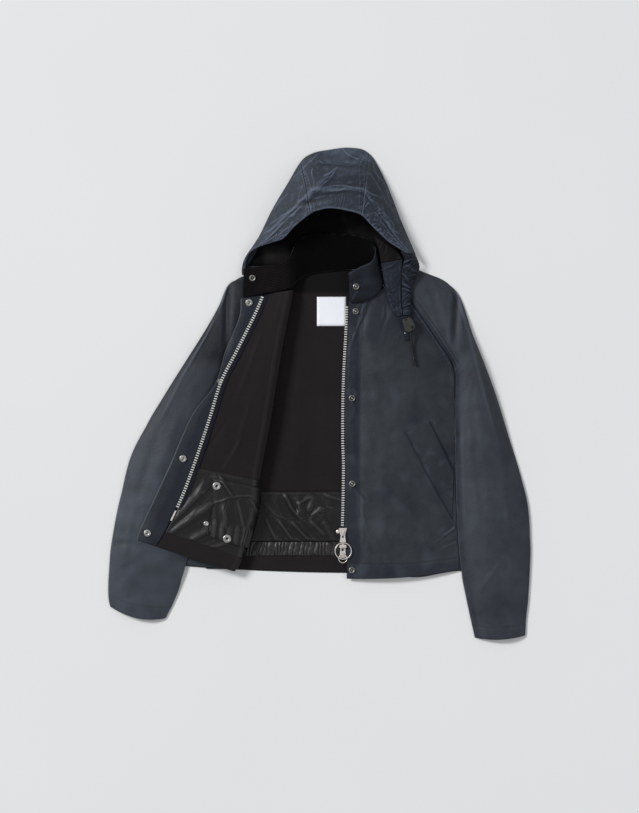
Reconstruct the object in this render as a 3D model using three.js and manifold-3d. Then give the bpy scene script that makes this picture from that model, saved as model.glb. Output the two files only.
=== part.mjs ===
import * as THREE from "three";
import { mergeVertices } from "three/addons/utils/BufferGeometryUtils.js";
import Module from "manifold-3d";

// A waxed cotton jacket with a hood, laid open on a flat surface, in millimetres.
// +X is to the right and +Y towards the hood as seen from above, +Z is up, and the surface is z = 0.
// The tables hold plan positions; the group is centred on the garment's own box at the end.

// Cloth and its gaps
const CLOTH = 1.2; // waxed cotton
const LINING = 1.0; // brushed cotton and nylon linings
const CORDUROY = 1.4; // ribbed cotton inside the collar
const SEAM = 0.5; // gap between two pieces at a seam
const GAP = 0.4; // gap between two layers that lie on each other
const BACK_LINING_TOP = CLOTH + GAP + LINING;

// Opened front
const STACK = 4.2; // sleeve to the top of the lining that lies over it
const FOLD_BASE = 2.2; // lining level under the fold
const SHELL_UNDER_LINING = LINING + GAP; // from the lining's face to the shell's

// Fasteners
const SNAP = { radius: 7, height: 2.2 };
const SKIRT_SNAP = { radius: 8, height: 2.2 };
const TEETH = { width: 6, height: 2.5 };
const TAPE = { width: 9, thickness: 0.8 };
const PULL = { length: 27, neck: 7, foot: 16, thickness: 1.6, groove: 3.2, tongue: 5 };
const RING = { radius: 16.9, wire: 1.1 };
const LOWER_RING = { radius: 8.6, wire: 0.9 };
const CORD_RADIUS = 2.2;

// Smooth value of one column of a table, where the column "key" reaches "at".
function smooth(table, key, column, at) {
  const last = table.length - 1;
  const falling = table[last][key] < table[0][key];
  let i = 0;
  while (i < last - 1 && (falling ? table[i + 1][key] > at : table[i + 1][key] < at)) i += 1;
  const slope = (a, b) => (table[b][column] - table[a][column]) / (table[b][key] - table[a][key]);
  const span = table[i + 1][key] - table[i][key];
  const t = THREE.MathUtils.clamp((at - table[i][key]) / span, 0, 1);
  const start = slope(Math.max(i - 1, 0), i + 1) * span;
  const end = slope(i, Math.min(i + 2, last)) * span;
  const a = table[i][column];
  const b = table[i + 1][column];
  return a + start * t + (3 * (b - a) - 2 * start - end) * t * t + (start + end - 2 * (b - a)) * t ** 3;
}

// The same, where the rows are evenly spaced from 0 to 1.
function spread(table, column, v) {
  const last = table.length - 1;
  const at = THREE.MathUtils.clamp(v, 0, 1) * last;
  const i = Math.min(Math.floor(at), last - 1);
  const t = at - i;
  const value = (k) => table[THREE.MathUtils.clamp(k, 0, last)][column];
  const start = i === 0 ? value(1) - value(0) : (value(i + 1) - value(i - 1)) / 2;
  const end = i + 1 === last ? value(last) - value(last - 1) : (value(i + 2) - value(i)) / 2;
  const rise = value(i + 1) - value(i);
  return value(i) + start * t + (3 * rise - 2 * start - end) * t * t + (start + end - 2 * rise) * t ** 3;
}

const mix = THREE.MathUtils.lerp;
const ease = (t) => THREE.MathUtils.smoothstep(t, 0, 1);
const even = (t) => t;
const roundEnds = (t) => (1 - Math.cos(Math.PI * t)) / 2;

// A soft ridge (height above 0) or trough (below 0) along a straight line in plan, fading at its ends.
function fold(x, y, { x0, y0, x1, y1, width, height }) {
  const run = Math.hypot(x1 - x0, y1 - y0);
  const along = ((x - x0) * (x1 - x0) + (y - y0) * (y1 - y0)) / run;
  const aside = ((x - x0) * (y1 - y0) - (y - y0) * (x1 - x0)) / run;
  const fade = Math.max(width, run * 0.25);
  const ends = ease((along + fade) / (2 * fade)) * ease((run + fade - along) / (2 * fade));
  return height * Math.exp(-((aside / width) ** 2)) * ends;
}
const foldSum = (folds, x, y) => folds.reduce((sum, row) => sum + fold(x, y, row), 0);

// A closed wall around the surface point(u, v): its face is "lift" out along the normal, and it is
// "thickness" deep. side is 1 where u then v turn anticlockwise as seen from the face, else -1.
function wall({ columns, rows, point, thickness, lift = 0, side = 1, uSpacing = even }) {
  const step = 1e-3;
  const normal = (u, v) => {
    const u0 = Math.max(u - step, 0);
    const v0 = Math.max(v - step, 0);
    const du = point(Math.min(u0 + 2 * step, 1), v).sub(point(u0, v));
    const dv = point(u, Math.min(v0 + 2 * step, 1)).sub(point(u, v0));
    return du.cross(dv).normalize().multiplyScalar(side);
  };
  const face = [];
  const inner = [];
  for (let j = 0; j <= rows; j += 1) {
    for (let i = 0; i <= columns; i += 1) {
      const u = uSpacing(i / columns);
      const v = j / rows;
      const p = point(u, v);
      const n = normal(u, v);
      face.push(p.clone().addScaledVector(n, lift));
      inner.push(p.clone().addScaledVector(n, lift - thickness));
    }
  }
  const count = face.length;
  const at = (i, j) => j * (columns + 1) + i;
  const index = [];
  const quad = (a, b, c, d) => index.push(...(side > 0 ? [a, b, c, a, c, d] : [a, c, b, a, d, c]));
  for (let j = 0; j < rows; j += 1) {
    for (let i = 0; i < columns; i += 1) {
      quad(at(i, j), at(i + 1, j), at(i + 1, j + 1), at(i, j + 1));
      quad(count + at(i, j + 1), count + at(i + 1, j + 1), count + at(i + 1, j), count + at(i, j));
    }
  }
  for (let i = 0; i < columns; i += 1) {
    quad(count + at(i, 0), count + at(i + 1, 0), at(i + 1, 0), at(i, 0));
    quad(at(i, rows), at(i + 1, rows), count + at(i + 1, rows), count + at(i, rows));
  }
  for (let j = 0; j < rows; j += 1) {
    quad(at(0, j), at(0, j + 1), count + at(0, j + 1), count + at(0, j));
    quad(count + at(columns, j), count + at(columns, j + 1), at(columns, j + 1), at(columns, j));
  }
  const positions = [...face, ...inner].flatMap((p) => [p.x, p.y, p.z]);
  return new THREE.BufferGeometry()
    .setAttribute("position", new THREE.Float32BufferAttribute(positions, 3))
    .setIndex(index);
}

// Materials
function finish(color, roughness, metalness = 0) {
  return new THREE.MeshStandardMaterial({ color, roughness, metalness });
}
const WAXED = finish(0x2b3038, 0.55);
const HOOD_WAXED = finish(0x303844, 0.55);
const COTTON = finish(0x272223, 0.9);
const CORD_CLOTH = finish(0x141313, 0.95);
const NYLON = finish(0x201f1f, 0.4);
const BLACK = finish(0x0c0c0c, 0.9);
const WHITE = finish(0xebeef5, 0.8);
const STEEL = finish(0x8d8a85, 0.35, 1);
const PLASTIC = finish(0x1d1d1e, 0.6);

const group = new THREE.Group();
function add(name, geometry, material) {
  const mesh = new THREE.Mesh(geometry, material);
  mesh.name = name;
  group.add(mesh);
  return mesh;
}

// Sections of a panel run from its left edge to its right edge, from its top row to its bottom row.
// bow is how far a section's middle lies from the straight line, along Y.
function sectionPoint(table, height) {
  return (u, v) => {
    const x = mix(spread(table, "leftX", v), spread(table, "rightX", v), u);
    const y = mix(spread(table, "leftY", v), spread(table, "rightY", v), u)
      + spread(table, "bow", v) * 4 * u * (1 - u);
    return new THREE.Vector3(x, y, height(x, y, u, v));
  };
}
const level = (z) => () => z;

// Seams in plan
const BACK_EDGE = [
  { y: 259.4, left: -48.3, right: 109.2 },
  { y: 196.3, left: -98.7, right: 157.5 },
  { y: 120.8, left: -151.2, right: 212.1 },
  { y: 45.1, left: -203.7, right: 258.3 },
  { y: -5.2, left: -235.2, right: 282.4 },
  { y: -76.7, left: -256.2, right: 284.8 },
  { y: -202.7, left: -270.9, right: 287.7 },
  { y: -318.2, left: -280.4, right: 294 },
  { y: -379.1, left: -285.2, right: 299.2 },
];
const backLeft = (y) => smooth(BACK_EDGE, "y", "left", y);
const backRight = (y) => smooth(BACK_EDGE, "y", "right", y);

// The right front meets its sleeve along the raglan seam, then the sleeve's inner fold.
const RIGHT_SEAM = [
  { y: 230, x: 136.5 },
  { y: 190.1, x: 192.2 },
  { y: 120.8, x: 241.5 },
  { y: 57.8, x: 280.4 },
  { y: -13.7, x: 284.6 },
  { y: -118.7, x: 285.6 },
  { y: -248.9, x: 288.5 },
  { y: -362.2, x: 296.7 },
  { y: -433.7, x: 309.8 },
  { y: -517.6, x: 328.2 },
];
const rightSeam = (y) => smooth(RIGHT_SEAM, "y", "x", y);

// Back panel, lying on the surface
const BACK = [
  { leftY: 259.4, rightY: 259.4, bow: 0 },
  { leftY: 196.3, rightY: 196.3, bow: 0 },
  { leftY: 120.8, rightY: 120.8, bow: 0 },
  { leftY: 45.1, rightY: 45.1, bow: 0 },
  { leftY: -5.2, rightY: -5.2, bow: 0 },
  { leftY: -76.7, rightY: -76.7, bow: 0 },
  { leftY: -202.7, rightY: -202.7, bow: 0 },
  { leftY: -307.7, rightY: -307.7, bow: -2 },
  { leftY: -362.2, rightY: -371.7, bow: -9 },
];
const TAIL = { at: 0.84, width: 0.09, drop: -11 }; // the hem's low stretch, under the right front
function backPoint(u, v) {
  const leftY = spread(BACK, "leftY", v);
  const rightY = spread(BACK, "rightY", v);
  const tail = TAIL.drop * Math.exp(-(((u - TAIL.at) / TAIL.width) ** 2)) * v ** 8;
  const x = mix(backLeft(leftY), backRight(rightY), u);
  const y = mix(leftY, rightY, u) + spread(BACK, "bow", v) * 4 * u * (1 - u) + tail;
  return new THREE.Vector3(x, y, CLOTH);
}
add("back_panel", wall({ columns: 8, rows: 16, point: backPoint, thickness: CLOTH, side: -1 }), WAXED);

// Left sleeve: outer edge to the hidden inner fold, which lies on the front's base
const LEFT_SLEEVE = [
  { leftX: -119.7, leftY: 265.7, rightX: -102.9, rightY: 244.7, bow: 0, inner: 5.4, crown: 1 },
  { leftX: -159.6, leftY: 243.6, rightX: -111.3, rightY: 219.5, bow: 0, inner: 6.6, crown: 3 },
  { leftX: -190.1, leftY: 227.9, rightX: -123.9, rightY: 196.3, bow: 0, inner: 6.6, crown: 7 },
  { leftX: -211.1, leftY: 181.7, rightX: -140.7, rightY: 162.8, bow: 0, inner: 6.6, crown: 10 },
  { leftX: -238.4, leftY: 133.3, rightX: -159.6, rightY: 120.8, bow: 0, inner: 6.6, crown: 12 },
  { leftX: -274.1, leftY: 76.7, rightX: -184.8, rightY: 70.4, bow: 0, inner: 6.6, crown: 14 },
  { leftX: -313.9, leftY: 13.7, rightX: -207.9, rightY: 7.4, bow: 0, inner: 6.6, crown: 16 },
  { leftX: -353.9, leftY: -53.6, rightX: -223.7, rightY: -62, bow: 0, inner: 6.6, crown: 17 },
  { leftX: -393.8, leftY: -129.2, rightX: -237.3, rightY: -139.7, bow: 0, inner: 6.6, crown: 17.5 },
  { leftX: -415.4, leftY: -213.2, rightX: -252, rightY: -223.7, bow: 0, inner: 6.6, crown: 17.5 },
  { leftX: -432.6, leftY: -297.2, rightX: -266.7, rightY: -307.7, bow: 0, inner: 6.6, crown: 17 },
  { leftX: -440.6, leftY: -370.7, rightX: -282.4, rightY: -370.7, bow: -2, inner: 6.2, crown: 14 },
  { leftX: -442.3, leftY: -421.1, rightX: -303.4, rightY: -433.7, bow: -8, inner: 3, crown: 12 },
  { leftX: -438.3, leftY: -447.3, rightX: -322.1, rightY: -471.5, bow: -12, inner: 2.8, crown: 9 },
];
const LEFT_SLEEVE_FOLDS = [
  { x0: -192.6, y0: 226.8, x1: -196.3, y1: 91.4, width: 9, height: -5 },
  { x0: -222.6, y0: 154.3, x1: -325.5, y1: -45.1, width: 14, height: 2.5 },
  { x0: -434.7, y0: -313.9, x1: -354.9, y1: -318.2, width: 6, height: -1.2 },
];
const OUTER_EDGE = 2.9; // a sleeve's front panel at its outer fold, above the back panel of the sleeve
const bump = (u) => Math.sin(Math.PI * THREE.MathUtils.clamp(u, 0, 1)) ** 0.7;
const edgeFade = (u) => ease(Math.min(u, 1 - u) / 0.12);
function leftSleeveHeight(x, y, u, v) {
  const base = mix(OUTER_EDGE, spread(LEFT_SLEEVE, "inner", v), ease(u));
  return base + spread(LEFT_SLEEVE, "crown", v) * bump(u) + foldSum(LEFT_SLEEVE_FOLDS, x, y) * edgeFade(u);
}
add("sleeve_left_front", wall({
  columns: 10,
  rows: 15,
  point: sectionPoint(LEFT_SLEEVE, leftSleeveHeight),
  thickness: CLOTH,
  side: -1,
  uSpacing: roundEnds,
}), WAXED);

// The sleeve's back panel ends at the back panel's raglan and side seams, then at the sleeve's inner fold.
const LEFT_SLEEVE_BACK = [
  { leftX: -126, leftY: 257.7, innerY: 258.5, bow: 0 },
  { leftX: -182.7, leftY: 231, innerY: 196.3, bow: 0 },
  { leftX: -228.9, leftY: 146, innerY: 120.8, bow: 0 },
  { leftX: -279.3, leftY: 68.2, innerY: 45.1, bow: 0 },
  { leftX: -323.4, leftY: -2.1, innerY: -5.2, bow: 0 },
  { leftX: -367.5, leftY: -78.8, innerY: -76.7, bow: 0 },
  { leftX: -412.7, leftY: -202.7, innerY: -202.7, bow: 0 },
  { leftX: -434.7, leftY: -307.7, innerY: -307.7, bow: 0 },
  { leftX: -440.2, leftY: -362.2, innerY: -362.2, bow: -2 },
  { leftX: -441.8, leftY: -400.1, innerY: -404.2, bow: -4 },
  { leftX: -441.8, leftY: -429.5, innerY: -437.9, bow: -8 },
  { leftX: -438.3, leftY: -447.3, innerY: -471.5, bow: -12 },
];
const LEFT_INNER = [
  { y: -379.1, x: -286.9 },
  { y: -404.2, x: -291.9 },
  { y: -433.7, x: -303.4 },
  { y: -471.5, x: -322.1 },
];
const leftBackInner = (y) => (y > -379.1 ? backLeft(y) - 2 * SEAM : smooth(LEFT_INNER, "y", "x", y));
function leftSleeveBackPoint(u, v) {
  const innerY = spread(LEFT_SLEEVE_BACK, "innerY", v);
  const x = mix(spread(LEFT_SLEEVE_BACK, "leftX", v), leftBackInner(innerY), u);
  const y = mix(spread(LEFT_SLEEVE_BACK, "leftY", v), innerY, u)
    + spread(LEFT_SLEEVE_BACK, "bow", v) * 4 * u * (1 - u);
  return new THREE.Vector3(x, y, CLOTH);
}
add("sleeve_left_back", wall({
  columns: 3,
  rows: 22,
  point: leftSleeveBackPoint,
  thickness: CLOTH,
  side: -1,
}), WAXED);

// Right sleeve: raglan seam or inner fold to the outer edge
const RIGHT_SLEEVE = [
  { innerY: 224.7, rightX: 218.4, rightY: 255.2, bow: 3, inner: 12.5, crown: 3 },
  { innerY: 190.1, rightX: 287.7, rightY: 214.6, bow: 2, inner: 12.5, crown: 8 },
  { innerY: 120.8, rightX: 322.4, rightY: 125, bow: 0, inner: 11, crown: 17 },
  { innerY: 57.8, rightX: 347.6, rightY: 62, bow: 0, inner: 7, crown: 22 },
  { innerY: -13.7, rightX: 374.9, rightY: -13.7, bow: 0, inner: 3.6, crown: 24.5 },
  { innerY: -118.7, rightX: 406.4, rightY: -120.8, bow: 0, inner: 3, crown: 25 },
  { innerY: -223.7, rightX: 436.4, rightY: -223.7, bow: 0, inner: 3, crown: 24.5 },
  { innerY: -311.9, rightX: 443.5, rightY: -311.9, bow: 0, inner: 3, crown: 22.5 },
  { innerY: -370.7, rightX: 442.7, rightY: -370.7, bow: 0, inner: 3, crown: 20 },
  { innerY: -433.7, rightX: 438.9, rightY: -433.7, bow: -2, inner: 3, crown: 17 },
  { innerY: -475.7, rightX: 435.1, rightY: -469.4, bow: -4, inner: 3, crown: 13.5 },
  { innerY: -512.4, rightX: 433, rightY: -507.6, bow: -6, inner: 3, crown: 10 },
];
const RIGHT_SLEEVE_FOLDS = [
  { x0: 289.8, y0: 221.6, x1: 282.4, y1: 112.4, width: 9, height: -7 },
  { x0: 302.4, y0: 164.8, x1: 354.9, y1: -45.1, width: 12, height: 2.5 },
];
function rightSleeveHeight(x, y, u, v) {
  const base = mix(spread(RIGHT_SLEEVE, "inner", v), OUTER_EDGE, ease(u));
  const crown = spread(RIGHT_SLEEVE, "crown", v) * bump(u);
  return base + crown + foldSum(RIGHT_SLEEVE_FOLDS, x, y) * edgeFade(u);
}
function rightSleevePoint(u, v) {
  const innerY = spread(RIGHT_SLEEVE, "innerY", v);
  const x = mix(rightSeam(innerY) + SEAM, spread(RIGHT_SLEEVE, "rightX", v), u);
  const bow = spread(RIGHT_SLEEVE, "bow", v) * 4 * u * (1 - u);
  const y = mix(innerY, spread(RIGHT_SLEEVE, "rightY", v), u) + bow;
  return new THREE.Vector3(x, y, rightSleeveHeight(x, y, u, v));
}
add("sleeve_right_front", wall({
  columns: 9,
  rows: 22,
  point: rightSleevePoint,
  thickness: CLOTH,
  side: -1,
  uSpacing: roundEnds,
}), WAXED);

const RIGHT_SLEEVE_BACK = [
  { innerY: 259.4, rightX: 212.1, rightY: 258.3, bow: 0 },
  { innerY: 196.3, rightX: 279.3, rightY: 222.6, bow: 0 },
  { innerY: 120.8, rightX: 322.4, rightY: 122.9, bow: 0 },
  { innerY: 45.1, rightX: 353.9, rightY: 45.1, bow: 0 },
  { innerY: -5.2, rightX: 372.3, rightY: -5.2, bow: 0 },
  { innerY: -76.7, rightX: 394.2, rightY: -76.7, bow: 0 },
  { innerY: -202.7, rightX: 431.1, rightY: -202.7, bow: 0 },
  { innerY: -307.7, rightX: 443.5, rightY: -307.7, bow: 0 },
  { innerY: -371.7, rightX: 442.7, rightY: -370.7, bow: 0 },
  { innerY: -433.7, rightX: 438.9, rightY: -433.7, bow: -2 },
  { innerY: -475.7, rightX: 435.1, rightY: -469.4, bow: -4 },
  { innerY: -512.4, rightX: 433, rightY: -507.6, bow: -6 },
];
const rightBackInner = (y) => {
  if (y > -362.2) return backRight(y) + 2 * SEAM;
  return Math.max(rightSeam(y), backRight(-379.1) + SEAM);
};
function rightSleeveBackPoint(u, v) {
  const innerY = spread(RIGHT_SLEEVE_BACK, "innerY", v);
  const x = mix(rightBackInner(innerY), spread(RIGHT_SLEEVE_BACK, "rightX", v), u);
  const y = mix(innerY, spread(RIGHT_SLEEVE_BACK, "rightY", v), u)
    + spread(RIGHT_SLEEVE_BACK, "bow", v) * 4 * u * (1 - u);
  return new THREE.Vector3(x, y, CLOTH);
}
add("sleeve_right_back", wall({
  columns: 3,
  rows: 22,
  point: rightSleeveBackPoint,
  thickness: CLOTH,
  side: -1,
}), WAXED);

// Right front, outer side up: from its zip edge to the raglan and side seams
const ZIP_RIGHT = [
  { y: 200.6, x: 59.2 },
  { y: 133.3, x: 56.7 },
  { y: 15.8, x: 51 },
  { y: -97.7, x: 50 },
  { y: -148.1, x: 51.5 },
  { y: -240.5, x: 50.4 },
  { y: -282.4, x: 49.4 },
  { y: -318.2, x: 52.1 },
  { y: -349.7, x: 54.6 },
  { y: -391.7, x: 54 },
];
const zipRight = (y) => smooth(ZIP_RIGHT, "y", "x", y);
const FRONT_EDGE = 4; // from the line of teeth to the front's folded edge
const RIGHT_FRONT = [
  { leftY: 194.2, rightY: 224.7, bow: -3, zip: 11, side: 12.5, crown: 4 },
  { leftY: 158.6, rightY: 190.1, bow: -2.5, zip: 10.2, side: 12.5, crown: 5.5 },
  { leftY: 95.5, rightY: 120.8, bow: -1, zip: 9.5, side: 11, crown: 7 },
  { leftY: 41, rightY: 57.8, bow: 0, zip: 9.5, side: 7, crown: 9 },
  { leftY: -22.1, rightY: -13.7, bow: 0, zip: 9.5, side: 4, crown: 11 },
  { leftY: -122.9, rightY: -118.7, bow: 0, zip: 9.5, side: 3.4, crown: 12 },
  { leftY: -227.9, rightY: -223.7, bow: 0, zip: 9.5, side: 3.4, crown: 12 },
  { leftY: -318.2, rightY: -311.9, bow: -2, zip: 9, side: 3.4, crown: 10 },
  { leftY: -388.5, rightY: -370.7, bow: -6, zip: 8.4, side: 3.4, crown: 7.5 },
];
const RIGHT_FRONT_FOLDS = [
  { x0: 86.1, y0: 133.3, x1: 81.9, y1: -160.7, width: 11, height: -1.8 },
  { x0: 102.9, y0: 192.2, x1: 69.3, y1: 101.9, width: 10, height: -1.6 },
  { x0: 245.7, y0: -309.8, x1: 285.6, y1: -280.4, width: 8, height: -1.4 },
  { x0: 88.2, y0: -223.7, x1: 98.7, y1: -349.7, width: 9, height: 1.4 },
];
function rightFrontHeight(x, y, u, v) {
  const base = mix(spread(RIGHT_FRONT, "zip", v), spread(RIGHT_FRONT, "side", v), ease(u));
  const crown = spread(RIGHT_FRONT, "crown", v) * Math.sin(Math.PI * u);
  return base + crown + foldSum(RIGHT_FRONT_FOLDS, x, y) * edgeFade(u);
}
function rightFrontPoint(u, v) {
  const leftY = spread(RIGHT_FRONT, "leftY", v);
  const rightY = spread(RIGHT_FRONT, "rightY", v);
  const x = mix(zipRight(leftY) + FRONT_EDGE, rightSeam(rightY) - SEAM, u);
  const y = mix(leftY, rightY, u) + spread(RIGHT_FRONT, "bow", v) * 4 * u * (1 - u);
  return new THREE.Vector3(x, y, rightFrontHeight(x, y, u, v));
}
add("front_right_panel", wall({
  columns: 11,
  rows: 16,
  point: rightFrontPoint,
  thickness: CLOTH,
  side: -1,
  uSpacing: roundEnds,
}), WAXED);

// Height of the right front at a place in plan, found from the section that passes there
function rightFrontAt(x, y) {
  let v = 0.5;
  let u = 0.5;
  for (let turn = 0; turn < 12; turn += 1) {
    const p = rightFrontPoint(u, v);
    const width = rightFrontPoint(1, v).x - rightFrontPoint(0, v).x;
    u = THREE.MathUtils.clamp(u + (x - p.x) / width, 0, 1);
    v = THREE.MathUtils.clamp(v - (y - p.y) / (194.2 - -388.5), 0, 1);
  }
  return rightFrontPoint(u, v).z;
}

// Pocket welt on the right front: a slanted strip with its own folded edge
const WELT = [
  { leftX: 181.7, leftY: -82.5, rightX: 232.7, rightY: -59.4, bow: 0 },
  { leftX: 214.2, leftY: -143.8, rightX: 251, rightY: -95.5, bow: 0 },
  { leftX: 247.8, leftY: -206.9, rightX: 267.8, rightY: -131.2, bow: 0 },
  { leftX: 279.7, leftY: -263.6, rightX: 282.7, rightY: -160.7, bow: 0 },
];
const weltPoint = sectionPoint(WELT, (x, y) => rightFrontAt(x, y) + GAP + 1);
add("pocket_welt", wall({ columns: 2, rows: 5, point: weltPoint, thickness: 0.9, side: -1 }), WAXED);

// Opened left front, folded back over the left sleeve with its lining up. Each section runs from the
// flap's edge to the zip, then to the rolled fold, round it and back along the base to the side seam.
const OPENED = [
  {
    flapX: -163.8, flapY: 198.5, zipX: -115.5, zipY: 207.7,
    rollX: -53.6, rollY: 216.1, baseY: 190.1, top: 29,
  },
  {
    flapX: -165.9, flapY: 164.8, zipX: -131.9, zipY: 169.1,
    rollX: -63, rollY: 168, baseY: 154.3, top: 32,
  },
  {
    flapX: -180, flapY: 127.1, zipX: -152, zipY: 128.1,
    rollX: -72.5, rollY: 120.8, baseY: 116.6, top: 34,
  },
  {
    flapX: -195.3, flapY: 91.4, zipX: -174.7, zipY: 83,
    rollX: -81.9, rollY: 66.2, baseY: 70.4, top: 35,
  },
  {
    flapX: -216.7, flapY: 22.1, zipX: -204.1, zipY: 25.2,
    rollX: -91.8, rollY: 5.2, baseY: 15.8, top: 35,
  },
  {
    flapX: -261.4, flapY: -37.8, zipX: -226.8, zipY: -47.2,
    rollX: -102.9, rollY: -64, baseY: -47.2, top: 35,
  },
  {
    flapX: -284.6, flapY: -85, zipX: -242.6, zipY: -95.5,
    rollX: -113.4, rollY: -118.7, baseY: -110.2, top: 34,
  },
  {
    flapX: -308.1, flapY: -140.1, zipX: -262.5, zipY: -153.3,
    rollX: -125, rollY: -181.7, baseY: -177.5, top: 32,
  },
  {
    flapX: -338.1, flapY: -204.8, zipX: -286.7, zipY: -217.4,
    rollX: -133.3, rollY: -251, baseY: -248.9, top: 30,
  },
  {
    flapX: -376.3, flapY: -286.7, zipX: -321.3, zipY: -290.9,
    rollX: -160.7, rollY: -345.4, baseY: -324.4, top: 27,
  },
  {
    flapX: -381.6, flapY: -305.6, zipX: -339.2, zipY: -320.2,
    rollX: -176.4, rollY: -372.8, baseY: -360.2, top: 25.5,
  },
];
const SEAM_INSET = 4; // from the back panel's edge to the front's seam on it
const openedAt = (column, v) => spread(OPENED, column, v);

// Height of what the folded front rests on: the left sleeve up to its crest, then level.
function restHeight(x, y) {
  let v = 0.5;
  let u = 0.5;
  for (let turn = 0; turn < 12; turn += 1) {
    const left = new THREE.Vector2(spread(LEFT_SLEEVE, "leftX", v), spread(LEFT_SLEEVE, "leftY", v));
    const right = new THREE.Vector2(spread(LEFT_SLEEVE, "rightX", v), spread(LEFT_SLEEVE, "rightY", v));
    u = THREE.MathUtils.clamp((x - left.x) / (right.x - left.x), 0, 1);
    const lineY = mix(left.y, right.y, u) + spread(LEFT_SLEEVE, "bow", v) * 4 * u * (1 - u);
    v = THREE.MathUtils.clamp(v - (y - lineY) / (265.7 - -471.5), 0, 1);
  }
  const crest = Math.min(u, 0.5);
  return leftSleeveHeight(x, y, crest, v);
}

// a runs from -1 at the flap's edge, 0 at the zip and 1 at the fold's top to 2 under it and 3 at the seam.
function openedPoint(a, v) {
  const zip = new THREE.Vector3(openedAt("zipX", v), openedAt("zipY", v), 0);
  const roll = new THREE.Vector3(openedAt("rollX", v), openedAt("rollY", v), 0);
  const top = openedAt("top", v);
  const radius = (top - FOLD_BASE) / 2;
  const across = roll.clone().sub(zip);
  const direction = across.clone().normalize();
  const turn = roll.clone().addScaledVector(direction, -radius);
  if (a <= 0) {
    const flap = new THREE.Vector3(openedAt("flapX", v), openedAt("flapY", v), 0);
    const p = zip.lerp(flap, -a);
    p.z = restHeight(p.x, p.y) + STACK;
    return p;
  }
  if (a <= 1) {
    const p = zip.lerp(turn, a);
    p.z = mix(restHeight(p.x, p.y) + STACK, top, ease(a));
    return p;
  }
  if (a <= 2) {
    const angle = Math.PI * (a - 1);
    turn.addScaledVector(direction, radius * Math.sin(angle));
    turn.z = FOLD_BASE + radius + radius * Math.cos(angle);
    return turn;
  }
  const baseY = openedAt("baseY", v);
  const base = new THREE.Vector3(backLeft(baseY) + SEAM_INSET, baseY, FOLD_BASE);
  turn.z = FOLD_BASE;
  return turn.lerp(base, a - 2);
}
// A stretch of the opened front, from a = from to a = to and from row v0 to row v1
function openedWall({ from, to, v0 = 0, v1 = 1, columns, rows, thickness, lift = 0 }) {
  const point = (u, v) => openedPoint(mix(from, to, u), mix(v0, v1, v));
  return wall({ columns, rows, point, thickness, lift, side: -1 });
}
const ROW = 1 / (OPENED.length - 1);
const NYLON_ROW = 7 * ROW; // the seam between cotton and nylon
const FACING_ROW = 9 * ROW; // the upper edge of the hem facing
const ROW_GAP = 0.0015;
const LINING_END = 1 + 2 / 3;
add("front_left_panel", openedWall({
  from: 0.004,
  to: 3,
  columns: 18,
  rows: 10,
  thickness: CLOTH,
  lift: -SHELL_UNDER_LINING,
}), WAXED);
add("front_left_lining", openedWall({
  from: 0.004,
  to: LINING_END,
  v1: NYLON_ROW - ROW_GAP,
  columns: 10,
  rows: 7,
  thickness: LINING,
}), COTTON);
add("front_left_nylon", openedWall({
  from: 0.004,
  to: LINING_END,
  v0: NYLON_ROW + ROW_GAP,
  v1: FACING_ROW - ROW_GAP,
  columns: 10,
  rows: 2,
  thickness: LINING,
}), NYLON);
add("front_left_hem_facing", openedWall({
  from: 0.004,
  to: LINING_END,
  v0: FACING_ROW + ROW_GAP,
  columns: 10,
  rows: 1,
  thickness: LINING,
}), COTTON);
add("front_left_flap", openedWall({
  from: -1,
  to: -0.03,
  columns: 3,
  rows: 10,
  thickness: CLOTH + GAP + LINING,
}), WAXED);

// Left zip: the tape lies on the lining's edge, and the teeth over the joint of front and flap
const ZIP_END_ROW = 8.33 * ROW;
function openedAside(offset, v) {
  const zip = openedPoint(0, v);
  const toward = offset > 0 ? openedPoint(0.2, v) : openedPoint(-0.5, v);
  const reach = toward.sub(zip);
  return zip.addScaledVector(reach.normalize(), Math.abs(offset));
}
function leftStrip(from, to, v0, v1) {
  return (u, v) => openedAside(mix(from, to, u), mix(v0, v1, v));
}
add("zip_tape_left", wall({
  columns: 1,
  rows: 12,
  point: leftStrip(TEETH.width / 2 + GAP, TEETH.width / 2 + TAPE.width, 0.012, ZIP_END_ROW),
  thickness: TAPE.thickness,
  lift: TAPE.thickness + 2 * GAP,
  side: -1,
}), WAXED);
add("zip_teeth_left", wall({
  columns: 1,
  rows: 12,
  point: leftStrip(-TEETH.width / 2, TEETH.width / 2, 0.012, ZIP_END_ROW),
  thickness: TEETH.height,
  lift: TEETH.height + 2 * GAP,
  side: -1,
}), STEEL);
add("zip_end_pin", wall({
  columns: 1,
  rows: 2,
  point: leftStrip(-1.6, 1.6, ZIP_END_ROW + 0.003, 8.62 * ROW),
  thickness: 2.4,
  lift: 2.4 + 2 * GAP,
  side: -1,
}), STEEL);

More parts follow.
